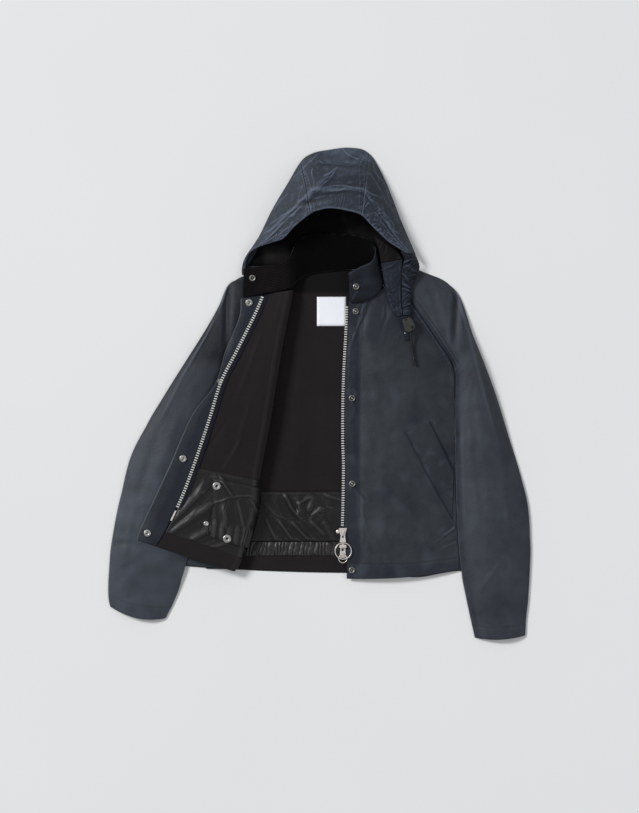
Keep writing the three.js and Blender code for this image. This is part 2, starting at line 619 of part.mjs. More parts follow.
// Skirt flap of the nylon lining, lying on the opened front and over its fold
const SKIRT = [
  { a: 0.36, v: 7.22 * ROW },
  { a: 0.43, v: 7.7 * ROW },
  { a: 0.5, v: 8.2 * ROW },
  { a: 0.58, v: 8.72 * ROW },
];
const SKIRT_END = 1.5;
const SKIRT_PLEATS = { count: 9, from: 0.72, height: 1.5 };
const SKIRT_RISE = { edge: 1.8, inner: 2 }; // over the lining it lies on
function skirtPoint(u, v) {
  const a = mix(spread(SKIRT, "a", v), SKIRT_END, u);
  const row = spread(SKIRT, "v", v);
  const p = openedPoint(a, row);
  const below = openedPoint(Math.min(a + 0.01, 2), row).sub(p).normalize();
  const out = new THREE.Vector3(0, 0, 1).multiplyScalar(below.x).add(new THREE.Vector3(-below.z, 0, 0));
  const gathered = ease((v - SKIRT_PLEATS.from) / 0.1);
  const wave = (1 - Math.cos(2 * Math.PI * SKIRT_PLEATS.count * u)) / 2;
  const rise = SKIRT_RISE.edge + SKIRT_RISE.inner * ease(u / 0.2);
  return p.addScaledVector(out.normalize(), rise + SKIRT_PLEATS.height * gathered * wave);
}
add("skirt_flap", wall({ columns: 27, rows: 4, point: skirtPoint, thickness: LINING, side: -1 }), NYLON);

// Back lining, as far as it shows between the two fronts
const LINING_BACK = [
  { leftX: -44.1, leftY: 257.2, rightX: 98.7, rightY: 257.2, bow: 0 },
  { leftX: -98.7, leftY: 154.3, rightX: 98.7, rightY: 154.3, bow: 0 },
  { leftX: -128.1, leftY: -13.7, rightX: 90.3, rightY: -13.7, bow: 0 },
  { leftX: -157.5, leftY: -204.8, rightX: 86.1, rightY: -204.8, bow: 0 },
];
add("back_lining", wall({
  columns: 3,
  rows: 4,
  point: sectionPoint(LINING_BACK, level(BACK_LINING_TOP)),
  thickness: LINING,
  side: -1,
}), COTTON);
const rollEdge = (y) => smooth(OPENED, "rollY", "rollX", y);
const SHOWN_RIGHT = 77.7;

// Crumpled nylon under the lining's seam, then the gathered elastic band, then the hem facing
const CRUMPLES = [
  { x0: -119.7, y0: -223.7, x1: -73.5, y1: -274.1, width: 9, height: 3.5 },
  { x0: -92.4, y0: -288.8, x1: -33.6, y1: -267.8, width: 8, height: 3 },
  { x0: -48.3, y0: -217.4, x1: -29.4, y1: -255.2, width: 9, height: 3.5 },
  { x0: -18.9, y0: -280.4, x1: 6.3, y1: -248.9, width: 8, height: 2.6 },
  { x0: 14.7, y0: -221.6, x1: 33.6, y1: -248.9, width: 8, height: 2 },
  { x0: -60.9, y0: -299.2, x1: -6.3, y1: -288.8, width: 7, height: -1.2 },
];
const NYLON_LEVEL = BACK_LINING_TOP + GAP;
const NYLON_PUFF = 1.2;
const underZip = (x) => 0.3 + 0.7 * ease((46.2 - x) / 30); // folds flatten under the right front's edge
function nylonPoint(u, v) {
  const y = mix(-205.4, -310.2, v);
  const x = mix(rollEdge(y) + 3, SHOWN_RIGHT, u);
  const edges = ease(v / 0.15) * ease((1 - v) / 0.15) * ease(u / 0.1) * underZip(x);
  return new THREE.Vector3(x, y, NYLON_LEVEL + (NYLON_PUFF + foldSum(CRUMPLES, x, y)) * edges);
}
add("back_nylon", wall({ columns: 14, rows: 7, point: nylonPoint, thickness: LINING, side: -1 }), NYLON);
const BAND = { pleats: 19, height: 2.6, rows: 2, samples: 3 };
function bandPoint(u, v) {
  const y = mix(-311, -340.4, v);
  const x = mix(rollEdge(-311) + 3, SHOWN_RIGHT, u);
  const wave = (1 - Math.cos(2 * Math.PI * BAND.pleats * u)) / 2;
  const middle = 0.45 + 0.55 * Math.sin(Math.PI * v); // the gathers stand highest at the elastic's middle
  return new THREE.Vector3(x, y, NYLON_LEVEL + underZip(x) * BAND.height * wave * middle);
}
add("back_waistband", wall({
  columns: BAND.pleats * BAND.samples,
  rows: BAND.rows,
  point: bandPoint,
  thickness: LINING,
  side: -1,
}), NYLON);
const FACING = [
  { leftX: -237.3, leftY: -341.9, rightX: 90.3, rightY: -341.9, bow: 0 },
  { leftX: -237.3, leftY: -367.7, rightX: 90.3, rightY: -376.1, bow: 0 },
];
add("back_hem_facing", wall({
  columns: 4,
  rows: 1,
  point: sectionPoint(FACING, level(BACK_LINING_TOP)),
  thickness: LINING,
  side: -1,
}), COTTON);

// Blank neck label
const LABEL = { left: -4.2, top: 202.7, size: 61, thickness: 0.6 };
function labelPoint(u, v) {
  const curl = 1.2 * u * (1 - v) ** 3;
  const z = BACK_LINING_TOP + GAP + LABEL.thickness + curl;
  return new THREE.Vector3(LABEL.left + LABEL.size * u, LABEL.top - LABEL.size * v, z);
}
add("neck_label", wall({
  columns: 2,
  rows: 3,
  point: labelPoint,
  thickness: LABEL.thickness,
  side: -1,
}), WHITE);

// Right zip, its tape under the front's edge, its teeth beyond it
const ZIP_BOTTOM = -280.4;
const EDGE_LEVEL = 9.5;
function rightStrip(from, to, z) {
  return (u, v) => {
    const y = mix(183.8, ZIP_BOTTOM, v);
    return new THREE.Vector3(zipRight(y) + mix(from, to, u), y, z);
  };
}
const TEETH_TOP = EDGE_LEVEL - 0.6;
const TAPE_TOP = TEETH_TOP - TEETH.height + TAPE.thickness;
const TAPE_EDGE = TEETH.width / 2 + GAP;
add("zip_teeth_right", wall({
  columns: 1,
  rows: 10,
  point: rightStrip(-TEETH.width / 2, TEETH.width / 2, TEETH_TOP),
  thickness: TEETH.height,
  side: -1,
}), STEEL);
add("zip_tape_right", wall({
  columns: 1,
  rows: 10,
  point: rightStrip(TAPE_EDGE, TAPE_EDGE + TAPE.width, TAPE_TOP),
  thickness: TAPE.thickness,
  side: -1,
}), WAXED);

// Collar, a stand that lies open at the left, rises behind the neck and rolls over at the right
const COLLAR = [
  { seamX: -159.6, seamY: 201.8, seamZ: 19, topX: -157.5, topY: 261.4, topZ: 17 },
  { seamX: -119.7, seamY: 209.8, seamZ: 21.5, topX: -123.9, topY: 266.7, topZ: 19 },
  { seamX: -81.9, seamY: 215.2, seamZ: 25, topX: -81.9, topY: 271.9, topZ: 22 },
  { seamX: -58.8, seamY: 221.6, seamZ: 24, topX: -59.9, topY: 288.8, topZ: 21 },
  { seamX: -44.1, seamY: 236.2, seamZ: 16, topX: -48.3, topY: 313.9, topZ: 17 },
  { seamX: -25.2, seamY: 248.9, seamZ: 8.2, topX: -27.3, topY: 330.8, topZ: 13 },
  { seamX: 12.6, seamY: 255.2, seamZ: 6.5, topX: 12.6, topY: 334.9, topZ: 11 },
  { seamX: 56.7, seamY: 259.4, seamZ: 6.5, topX: 58.8, topY: 332.9, topZ: 11 },
  { seamX: 96.6, seamY: 259.4, seamZ: 9, topX: 92.4, topY: 326.6, topZ: 11.5 },
  { seamX: 128.1, seamY: 244.7, seamZ: 12.5, topX: 114.5, topY: 307.7, topZ: 14 },
  { seamX: 121.8, seamY: 219.5, seamZ: 17.5, topX: 111.3, topY: 278.2, topZ: 19 },
  { seamX: 92.4, seamY: 202.7, seamZ: 16.5, topX: 86.1, topY: 264.6, topZ: 18 },
  { seamX: 65.1, seamY: 199.5, seamZ: 12.5, topX: 62, topY: 252, topZ: 14 },
];
function collarPoint(u, v) {
  const at = (column) => spread(COLLAR, column, u);
  const seam = new THREE.Vector3(at("seamX"), at("seamY"), at("seamZ"));
  const top = new THREE.Vector3(at("topX"), at("topY"), at("topZ"));
  return seam.lerp(top, v);
}
add("collar_lining", wall({
  columns: 30,
  rows: 2,
  point: collarPoint,
  thickness: CORDUROY,
  side: 1,
}), CORD_CLOTH);
add("collar_shell", wall({
  columns: 30,
  rows: 2,
  point: collarPoint,
  thickness: CLOTH,
  lift: -CORDUROY - 2 * GAP,
  side: 1,
}), WAXED);

// Hood: its back lies on the surface, and its crown stands up to the brim around the open face
const HOOD = [
  { u: 0, brimX: -154.1, brimY: 248.6, brimZ: 12, backX: -161.9, backY: 248.4 },
  { u: 0.04, brimX: -153.1, brimY: 275.5, brimZ: 12, backX: -161.7, backY: 264.6 },
  { u: 0.1, brimX: -141.3, brimY: 298.4, brimZ: 17, backX: -153.7, backY: 287.7 },
  { u: 0.19, brimX: -102.5, brimY: 313.9, brimZ: 30, backX: -126, backY: 329.7 },
  { u: 0.28, brimX: -75, brimY: 323, brimZ: 42, backX: -98.7, backY: 385.4 },
  { u: 0.38, brimX: -50, brimY: 348.4, brimZ: 52, backX: -65.1, backY: 442.1 },
  { u: 0.5, brimX: -14.5, brimY: 375.3, brimZ: 62, backX: -35.1, backY: 490.4 },
  { u: 0.56, brimX: 3.2, brimY: 381.4, brimZ: 65, backX: -11.3, backY: 505.1 },
  { u: 0.62, brimX: 22.9, brimY: 384.5, brimZ: 66, backX: 16.8, backY: 510.9 },
  { u: 0.71, brimX: 56.1, brimY: 379.9, brimZ: 66, backX: 65.1, backY: 516 },
  { u: 0.79, brimX: 88.4, brimY: 370.2, brimZ: 62, backX: 105, backY: 504 },
  { u: 0.86, brimX: 112.4, brimY: 346.3, brimZ: 55, backX: 137.6, backY: 450.5 },
  { u: 0.93, brimX: 146, brimY: 315.4, brimZ: 46, backX: 170.1, backY: 368.6 },
  { u: 1, brimX: 182.7, brimY: 292.9, brimZ: 36, backX: 202.7, backY: 292.9 },
];
const HOOD_EDGE = 2.8;
const HOOD_FOLDS = [
  { x0: -119.7, y0: 320.2, x1: 18.9, y1: 452.6, width: 9, height: 5 },
  { x0: 6.3, y0: 478.8, x1: 81.9, y1: 473.6, width: 7, height: -3 },
  { x0: -14.7, y0: 425.2, x1: 86.1, y1: 423.2, width: 7, height: 3 },
  { x0: -39.9, y0: 393.8, x1: 33.6, y1: 411.6, width: 7, height: -2.5 },
  { x0: 98.7, y0: 423.2, x1: 165.9, y1: 322.4, width: 8, height: 3.5 },
];
function hoodPoint(u, v, creased = 1) {
  const at = (column) => smooth(HOOD, "u", column, u);
  const x = mix(at("brimX"), at("backX"), v);
  const y = mix(at("brimY"), at("backY"), v);
  const slope = 1 - v ** 2.3;
  const fade = ease((1 - v) / 0.2) * ease(u / 0.15) * ease((1 - u) / 0.1);
  const folds = creased * fade * foldSum(HOOD_FOLDS, x, y);
  return new THREE.Vector3(x, y, HOOD_EDGE + (at("brimZ") - HOOD_EDGE) * slope + folds);
}
const backSpacing = (v) => 1 - (1 - v) ** 1.5;
function hoodWall({ from, to, v1 = 1, columns, rows, thickness, lift = 0, creased = 1 }) {
  const point = (u, v) => hoodPoint(mix(from, to, u), v1 * backSpacing(v), creased);
  return wall({ columns, rows, point, thickness, lift, side: 1 });
}
const HOOD_SEAMS = [0, 0.49, 0.79, 1];
const HOOD_PANELS = ["hood_left", "hood_centre", "hood_right"];
const HOOD_GAP = 0.0008;
HOOD_PANELS.forEach((name, k) => add(name, hoodWall({
  from: HOOD_SEAMS[k] + (k > 0 ? HOOD_GAP : 0),
  to: HOOD_SEAMS[k + 1] - (k < 2 ? HOOD_GAP : 0),
  columns: [9, 6, 6][k],
  rows: 8,
  thickness: CLOTH,
}), HOOD_WAXED));
// The crown's lining follows the same sections, and sinks away from the shell behind the brim.
const LINING_DROOP = 8;
const HOOD_LAYER_GAP = 0.64;
const LINING_SHARE = 0.4; // of the height above the hood's edge, at most
function crownLiningPoint(t, v) {
  const stretch = Math.min(Math.floor(t * 3), 2);
  const from = [HOOD_SEAMS[1] / 3, HOOD_SEAMS[1], HOOD_SEAMS[2]][stretch];
  const to = [HOOD_SEAMS[1], HOOD_SEAMS[2], 0.985][stretch];
  const row = 0.86 * backSpacing(v);
  const p = hoodPoint(mix(from, to, t * 3 - stretch), row, 0);
  p.z -= Math.min(LINING_DROOP, LINING_SHARE * (p.z - HOOD_EDGE)) * ease(row / 0.35);
  return p;
}
add("hood_lining_crown", wall({
  columns: 18,
  rows: 4,
  point: crownLiningPoint,
  thickness: LINING,
  lift: -CLOTH - HOOD_LAYER_GAP,
}), BLACK);
const HOOD_BACK = [
  { leftX: 35.7, leftY: 513, rightX: 86.1, rightY: 513, bow: 2 },
  { leftX: -16.8, leftY: 500.9, rightX: 105, rightY: 500.9, bow: 0 },
  { leftX: -45.1, leftY: 475.7, rightX: 121.4, rightY: 475.7, bow: 0 },
  { leftX: -63, leftY: 444.2, rightX: 139.7, rightY: 444.2, bow: 0 },
  { leftX: -88.2, leftY: 402.2, rightX: 157.5, rightY: 402.2, bow: 0 },
  { leftX: -107.1, leftY: 368.6, rightX: 170.1, rightY: 368.6, bow: 0 },
  { leftX: -127.1, leftY: 326.6, rightX: 188, rightY: 326.6, bow: 0 },
  { leftX: -149.1, leftY: 292.9, rightX: 201.6, rightY: 292.9, bow: 0 },
  { leftX: -157.5, leftY: 271.9, rightX: 207.9, rightY: 271.9, bow: 0 },
  { leftX: -160, leftY: 260.6, rightX: 201.6, rightY: 260.2, bow: 0 },
];
add("hood_back", wall({
  columns: 4,
  rows: 9,
  point: sectionPoint(HOOD_BACK, level(CLOTH)),
  thickness: CLOTH,
  side: -1,
}), HOOD_WAXED);
const HOOD_FLOOR = [
  { leftX: -29.4, leftY: 458.9, rightX: 98.7, rightY: 458.9, bow: 0 },
  { leftX: -69.3, leftY: 402.2, rightX: 136.5, rightY: 402.2, bow: 0 },
  { leftX: -107.1, leftY: 339.2, rightX: 159.6, rightY: 339.2, bow: 0 },
  { leftX: -149.1, leftY: 267.8, rightX: 178.5, rightY: 271.9, bow: 0 },
];
add("hood_lining_back", wall({
  columns: 3,
  rows: 4,
  point: sectionPoint(HOOD_FLOOR, level(BACK_LINING_TOP)),
  thickness: LINING,
  side: -1,
}), BLACK);

// The hood's right front edge: black lining inside the face, waxed facing, gathered channel, tab
const INSIDE_RIGHT = [
  { leftX: 116.6, leftY: 328.7, rightX: 144.9, rightY: 309.8, bow: 0, left: 19, right: 26 },
  { leftX: 125, leftY: 301.4, rightX: 163.8, rightY: 295.1, bow: 0, left: 22, right: 30 },
  { leftX: 130.2, leftY: 272.8, rightX: 174.3, rightY: 281.2, bow: 0, left: 26, right: 31 },
];
function slanted(table, arch) {
  return sectionPoint(table, (x, y, u, v) =>
    mix(spread(table, "left", v), spread(table, "right", v), u) + arch * Math.sin(Math.PI * u));
}
add("hood_lining_side", wall({
  columns: 3,
  rows: 4,
  point: slanted(INSIDE_RIGHT, 1),
  thickness: LINING,
  side: -1,
}), BLACK);
const HOOD_FACING = [
  { leftX: 130.2, leftY: 271.9, rightX: 174.3, rightY: 280.4, bow: 0, left: 26, right: 31 },
  { leftX: 136.5, leftY: 232.1, rightX: 172.2, rightY: 236.2, bow: 0, left: 26, right: 28.5 },
  { leftX: 146, leftY: 188, rightX: 172.2, rightY: 196.3, bow: 0, left: 22.5, right: 24.5 },
  { leftX: 160.7, leftY: 159.6, rightX: 175.1, rightY: 162.8, bow: 0, left: 20, right: 21.5 },
];
add("hood_facing", wall({
  columns: 3,
  rows: 7,
  point: slanted(HOOD_FACING, 1.2),
  thickness: CLOTH,
  side: -1,
}), HOOD_WAXED);
const CHANNEL = [
  { leftX: 182.5, leftY: 292.3, rightX: 202.4, rightY: 292.3, bow: 0, left: 35, right: 5.5, arch: 7 },
  { leftX: 174.1, leftY: 261.4, rightX: 210.8, rightY: 262.5, bow: 0, left: 30.2, right: 13, arch: 6 },
  { leftX: 173.2, leftY: 223.7, rightX: 194.9, rightY: 223.7, bow: 0, left: 27.4, right: 21, arch: 3 },
  { leftX: 173.5, leftY: 192.2, rightX: 192.8, rightY: 192.2, bow: 0, left: 24.2, right: 21, arch: 2 },
  { leftX: 176, leftY: 162.8, rightX: 192.4, rightY: 163.8, bow: 0, left: 21.6, right: 21, arch: 2 },
];
const GATHERS = { count: 9, height: 1.6 };
const channelPoint = sectionPoint(CHANNEL, (x, y, u, v) =>
  mix(spread(CHANNEL, "left", v), spread(CHANNEL, "right", v), u)
    + spread(CHANNEL, "arch", v) * Math.sin(Math.PI * u)
    + GATHERS.height * Math.sin(2 * Math.PI * GATHERS.count * v) * ease((1 - v) / 0.2) * ease(v / 0.08));
add("hood_channel", wall({
  columns: 3,
  rows: 27,
  point: channelPoint,
  thickness: CLOTH,
  side: -1,
}), HOOD_WAXED);
const TAB = [
  { leftX: 161.7, leftY: 159.1, rightX: 191.9, rightY: 163.4, bow: 0.6, left: 19.9, right: 20.8 },
  { leftX: 173.2, leftY: 133.3, rightX: 190.7, rightY: 135.5, bow: 0, left: 18.8, right: 19 },
  { leftX: 181.7, leftY: 110.2, rightX: 188.2, rightY: 111.1, bow: 0, left: 18.3, right: 18.5 },
];
add("hood_tab", wall({
  columns: 2,
  rows: 3,
  point: slanted(TAB, 0),
  thickness: CLOTH,
  side: -1,
}), HOOD_WAXED);

// Cord lock: a small moulded barrel with a rounded outline, lying on the tab
const LOCK_LEVEL = 21.1;
const LOCK_HEIGHT = 9;
const lockOutline = new THREE.Shape([
  new THREE.Vector2(173.9, 153.9),
  new THREE.Vector2(188.6, 159.4),
  new THREE.Vector2(194.2, 156),
  new THREE.Vector2(200.6, 144.7),
  new THREE.Vector2(201.2, 136.3),
  new THREE.Vector2(188.6, 127.1),
  new THREE.Vector2(179.3, 131.5),
].reverse());
const BEVEL = 1.2;
const lock = new THREE.ExtrudeGeometry(lockOutline, {
  depth: LOCK_HEIGHT - 2 * BEVEL,
  bevelThickness: BEVEL,
  bevelSize: BEVEL,
  bevelOffset: -BEVEL,
  bevelSegments: 1,
});
lock.translate(0, 0, LOCK_LEVEL + BEVEL);
add("cord_lock", lock, PLASTIC);

// Drawcord: out of the lock's low end, over the front, to its tip
const CORD_ROUTE = [
  { x: 192.6, y: 128.1, z: 25.8 },
  { x: 192.2, y: 120.8, z: 25 },
  { x: 193, y: 112.4, z: 23.2 },
  { x: 193.8, y: 104, z: 21.6 },
  { x: 195.1, y: 94.5, z: 20.7 },
  { x: 196.6, y: 85, z: 20.3 },
  { x: 198.2, y: 75.8, z: 20.3 },
];
const cordCurve = new THREE.CatmullRomCurve3(CORD_ROUTE.map(({ x, y, z }) => new THREE.Vector3(x, y, z)));
function rod(radius, sides) {
  return new THREE.Shape(Array.from({ length: sides }, (_, k) => {
    const angle = (2 * Math.PI * k) / sides;
    return new THREE.Vector2(radius * Math.cos(angle), radius * Math.sin(angle));
  }));
}
add("drawcord", new THREE.ExtrudeGeometry(rod(CORD_RADIUS, 8), {
  steps: 8,
  extrudePath: cordCurve,
}), PLASTIC);
const TIP = { length: 17, upper: 2.3, lower: 2.8 };
const tipStart = cordCurve.getPoint(1);
const tipDirection = cordCurve.getTangent(1);
const tip = new THREE.CylinderGeometry(TIP.upper, TIP.lower, TIP.length, 10);
tip.applyQuaternion(new THREE.Quaternion().setFromUnitVectors(new THREE.Vector3(0, -1, 0), tipDirection));
tip.translate(...tipStart.addScaledVector(tipDirection, GAP + TIP.length / 2).toArray());
add("cord_tip", tip, PLASTIC);

// Snap fasteners: a ring-shaped cap with a sunk middle
function snap(name, { x, y, z, size = SNAP }) {
  const { radius, height } = size;
  const profile = [
    [0, 0], [radius, 0], [radius * 0.88, height],
    [radius * 0.5, height], [radius * 0.34, height * 0.55], [0, height * 0.55],
  ].map(([across, up]) => new THREE.Vector2(across, up));
  const cap = new THREE.LatheGeometry(profile, 10);
  cap.rotateX(Math.PI / 2);
  cap.translate(x, y, z);
  add(name, cap, STEEL);
}
const openedTop = (x, y) => restHeight(x, y) + STACK;
const RIGHT_SNAPS = [
  { name: "snap_front_1", x: 77.3, y: 172.2 },
  { name: "snap_front_2", x: 69.3, y: -10.1 },
  { name: "snap_front_3", x: 69.7, y: -189 },
  { name: "snap_front_hem", x: 68.9, y: -370.2 },
];
const SNAP_LIFT = { right: 0.9, flap: 1 }; // from the cloth's mean level to the cap's foot
const SNAP_ASIDE = 5; // the cloth's level is taken this far in from the front's edge
RIGHT_SNAPS.forEach(({ name, x, y }) => {
  snap(name, { x, y, z: rightFrontAt(x + SNAP_ASIDE, y) + SNAP_LIFT.right });
});
const FLAP_SNAPS = [
  { name: "snap_flap_1", x: -146.4, y: 190.1 },
  { name: "snap_flap_3", x: -284.1, y: -136.3 },
  { name: "snap_flap_4", x: -358.7, y: -291.9 },
];
FLAP_SNAPS.forEach(({ name, x, y }) => snap(name, { x, y, z: openedTop(x, y) + SNAP_LIFT.flap }));
snap("snap_collar_left", { x: -139.2, y: 241.5, z: 20.2 });
snap("snap_collar_right", { x: 77.7, y: 223.7, z: 20.6 });

// Places on the opened front's lining, found from their plan position
function openedFrom(x, y) {
  let v = 0.5;
  let a = 0.5;
  for (let turn = 0; turn < 14; turn += 1) {
    const p = openedPoint(a, v);
    const width = openedPoint(1, v).x - openedPoint(0, v).x;
    a = THREE.MathUtils.clamp(a + (x - p.x) / width, 0, 1);
    v = THREE.MathUtils.clamp(v - (y - p.y) / (211.1 - -349.7), 0, 1);
  }
  return openedPoint(a, v);
}
const SKIRT_SNAPS = [
  { name: "snap_skirt_1", x: -213.6, y: -193.2, lift: 3.9 },
  { name: "snap_skirt_2", x: -191.9, y: -303.4, lift: 5.4 },
];
SKIRT_SNAPS.forEach(({ name, x, y, lift }) => {
  snap(name, { x, y, z: openedFrom(x, y).z + lift, size: SKIRT_SNAP });
});

// Thin cord of the skirt: from the flap's channel over the nylon to a small stopper
const SKIRT_CORD_RADIUS = 1.1;
const SKIRT_CORD_LIFT = 2.6;
const SKIRT_CORD = [
  { x: -220.5, y: -231 },
  { x: -225.1, y: -236.2 },
  { x: -228.1, y: -243.6 },
  { x: -230.2, y: -253.1 },
  { x: -232.3, y: -262.5 },
];
const skirtCordCurve = new THREE.CatmullRomCurve3(SKIRT_CORD.map(({ x, y }) =>
  new THREE.Vector3(x, y, openedFrom(x, y).z + SKIRT_CORD_RADIUS + SKIRT_CORD_LIFT)));
add("skirt_cord", new THREE.ExtrudeGeometry(rod(SKIRT_CORD_RADIUS, 8), {
  steps: 6,
  extrudePath: skirtCordCurve,
}), NYLON);
const STOPPER = { x: -235.6, y: -271.9, radius: 6, height: 3.4, lift: 0.8 };
snap("skirt_stopper", {
  x: STOPPER.x,
  y: STOPPER.y,
  z: openedFrom(STOPPER.x, STOPPER.y).z + STOPPER.lift,
  size: STOPPER,
});

// Booleans, for the sliders and the pull
const wasm = await Module();
wasm.setup();
function solid(geometry) {
  const bare = new THREE.BufferGeometry().setAttribute("position", geometry.getAttribute("position"));
  bare.setIndex(geometry.index);
  const merged = mergeVertices(bare, 1e-4);
  return new wasm.Manifold(new wasm.Mesh({
    numProp: 3,
    vertProperties: merged.attributes.position.array,
    triVerts: new Uint32Array(merged.index.array),
  }));
}
function geometryOf(manifold) {
  const mesh = manifold.getMesh();
  return new THREE.BufferGeometry()
    .setAttribute("position", new THREE.BufferAttribute(mesh.vertProperties, 3))
    .setIndex(new THREE.BufferAttribute(mesh.triVerts, 1));
}
const join = (...parts) => geometryOf(parts.map(solid).reduce((whole, next) => whole.add(next)));

// A plate of constant thickness between z0 and z1, half-widths w0 at its upper end and w1 at its lower
function plate({ x, y0, y1, w0, w1, z0, z1, window = null }) {
  const outline = new THREE.Shape([
    new THREE.Vector2(x - w0, y0),
    new THREE.Vector2(x - w1, y1),
    new THREE.Vector2(x + w1, y1),
    new THREE.Vector2(x + w0, y0),
  ]);
  if (window) {
    outline.holes.push(new THREE.Path([
      new THREE.Vector2(x - window.half, window.y0),
      new THREE.Vector2(x + window.half, window.y0),
      new THREE.Vector2(x + window.half, window.y1),
      new THREE.Vector2(x - window.half, window.y1),
    ]));
  }
  return new THREE.ExtrudeGeometry(outline, { depth: z1 - z0, bevelEnabled: false }).translate(0, 0, z0);
}
// A bail: an arch of width 2 * half that stands on z0, from y0 down to y1, with legs of "leg"
function bail({ x, y0, y1, z0, z1, half, leg }) {
  const outline = new THREE.Shape([
    new THREE.Vector2(y0, z0),
    new THREE.Vector2(y0, z1 - leg),
    new THREE.Vector2(y0 - leg, z1),
    new THREE.Vector2(y1 + leg, z1),
    new THREE.Vector2(y1, z1 - leg),
    new THREE.Vector2(y1, z0),
    new THREE.Vector2(y1 + leg, z0),
    new THREE.Vector2(y1 + leg, z1 - 1.3 * leg),
    new THREE.Vector2(y0 - leg, z1 - 1.3 * leg),
    new THREE.Vector2(y0 - leg, z0),
  ]);
  const arch = new THREE.ExtrudeGeometry(outline, { depth: 2 * half, bevelEnabled: false });
  arch.applyMatrix4(new THREE.Matrix4().set(0, 0, 1, x - half, 1, 0, 0, 0, 0, 1, 0, 0, 0, 0, 0, 1));
  return arch;
}

// Two-way zip at the right front's edge: both sliders are down at the hem
const ZIP_X = 50;
const BODY = { top: -282, bottom: -298, low: 6, flange: 11, high: 12.6, core: 3.4, half: 8.2 };
const PULL_Z = 14.2; // the level of the pull's axis and of the ring that lies in it
const PULL_HALF = PULL.thickness / 2;
const pullAxisY = -291.7;
const ringAxisY = -313.1;
const sliderCore = plate({
  x: ZIP_X, y0: BODY.top, y1: BODY.bottom, w0: BODY.core, w1: BODY.core, z0: BODY.low, z1: BODY.flange + 0.4,
});
const sliderFlange = plate({
  x: ZIP_X, y0: BODY.top, y1: BODY.bottom, w0: BODY.half, w1: 4.8, z0: BODY.flange, z1: BODY.high,
});
const upperBail = bail({
  x: ZIP_X, y0: -284.1, y1: -297.8, z0: BODY.high - 0.5, z1: 17.8, half: 0.9, leg: 1.3,
});
add("slider_upper", join(sliderCore, sliderFlange, upperBail), STEEL);

const pullTop = { x: ZIP_X, z0: PULL_Z - PULL_HALF, z1: PULL_Z + PULL_HALF };
const grooveTop = ringAxisY + PULL.groove / 2;
const grooveBottom = ringAxisY - PULL.groove / 2 - 2.2;
const footBottom = -323.2;
const pullPlate = plate({
  ...pullTop,
  y0: pullAxisY + 1.2,
  y1: grooveTop,
  w0: PULL.neck / 2,
  w1: PULL.foot / 2 - 1.5,
  window: { half: 1.6, y0: pullAxisY - 1.2, y1: pullAxisY - 11 },
});
const pullFoot = plate({
  ...pullTop, y0: grooveBottom, y1: footBottom, w0: PULL.foot / 2 - 1.5, w1: PULL.foot / 2,
});
const TONGUE = { low: PULL_Z - 3.2, high: PULL_Z - 1.9 };
const pullTongue = plate({
  x: ZIP_X, y0: grooveTop + 2, y1: grooveBottom - 2, w0: PULL.tongue / 2, w1: PULL.tongue / 2,
  z0: TONGUE.low, z1: TONGUE.high,
});
const post = (y0, y1) => plate({
  x: ZIP_X, y0, y1, w0: PULL.tongue / 2, w1: PULL.tongue / 2, z0: TONGUE.low, z1: PULL_Z,
});
add("pull_plate", join(
  pullPlate, pullFoot, pullTongue, post(grooveTop + 2, grooveTop), post(grooveBottom, grooveBottom - 2),
), STEEL);

const RING_X = ZIP_X + 0.8;
const ring = new THREE.TorusGeometry(RING.radius, RING.wire, 6, 24);
ring.translate(RING_X, ringAxisY - RING.radius, PULL_Z);
add("pull_ring", ring, STEEL);

const LOWER = { top: -324, bottom: -344.4, low: 5.8, high: 9.2, half: 6.6 };
const LOWER_RING_Z = LOWER.high + LOWER_RING.wire + 0.5;
const lowerAxisY = -337.5;
const lowerBody = plate({
  x: ZIP_X, y0: LOWER.top, y1: LOWER.bottom, w0: 5.2, w1: LOWER.half, z0: LOWER.low, z1: LOWER.high,
});
const lowerBail = bail({
  x: ZIP_X, y0: lowerAxisY + 3.6, y1: lowerAxisY - 3.6, z0: LOWER.high - 0.5, z1: 13.4, half: 0.9, leg: 1.1,
});
add("slider_lower", join(lowerBody, lowerBail), STEEL);
const lowerRing = new THREE.TorusGeometry(LOWER_RING.radius, LOWER_RING.wire, 6, 20);
lowerRing.translate(ZIP_X, lowerAxisY - LOWER_RING.radius, LOWER_RING_Z);
add("lower_ring", lowerRing, STEEL);

// The origin is under the middle of the garment's box
const box = new THREE.Box3().setFromObject(group);
const centre = box.getCenter(new THREE.Vector3());
group.position.set(-centre.x, -centre.y, -box.min.z);

export default group;
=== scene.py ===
import math

import bmesh
import bpy
import numpy as np
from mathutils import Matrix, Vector
from mathutils.bvhtree import BVHTree


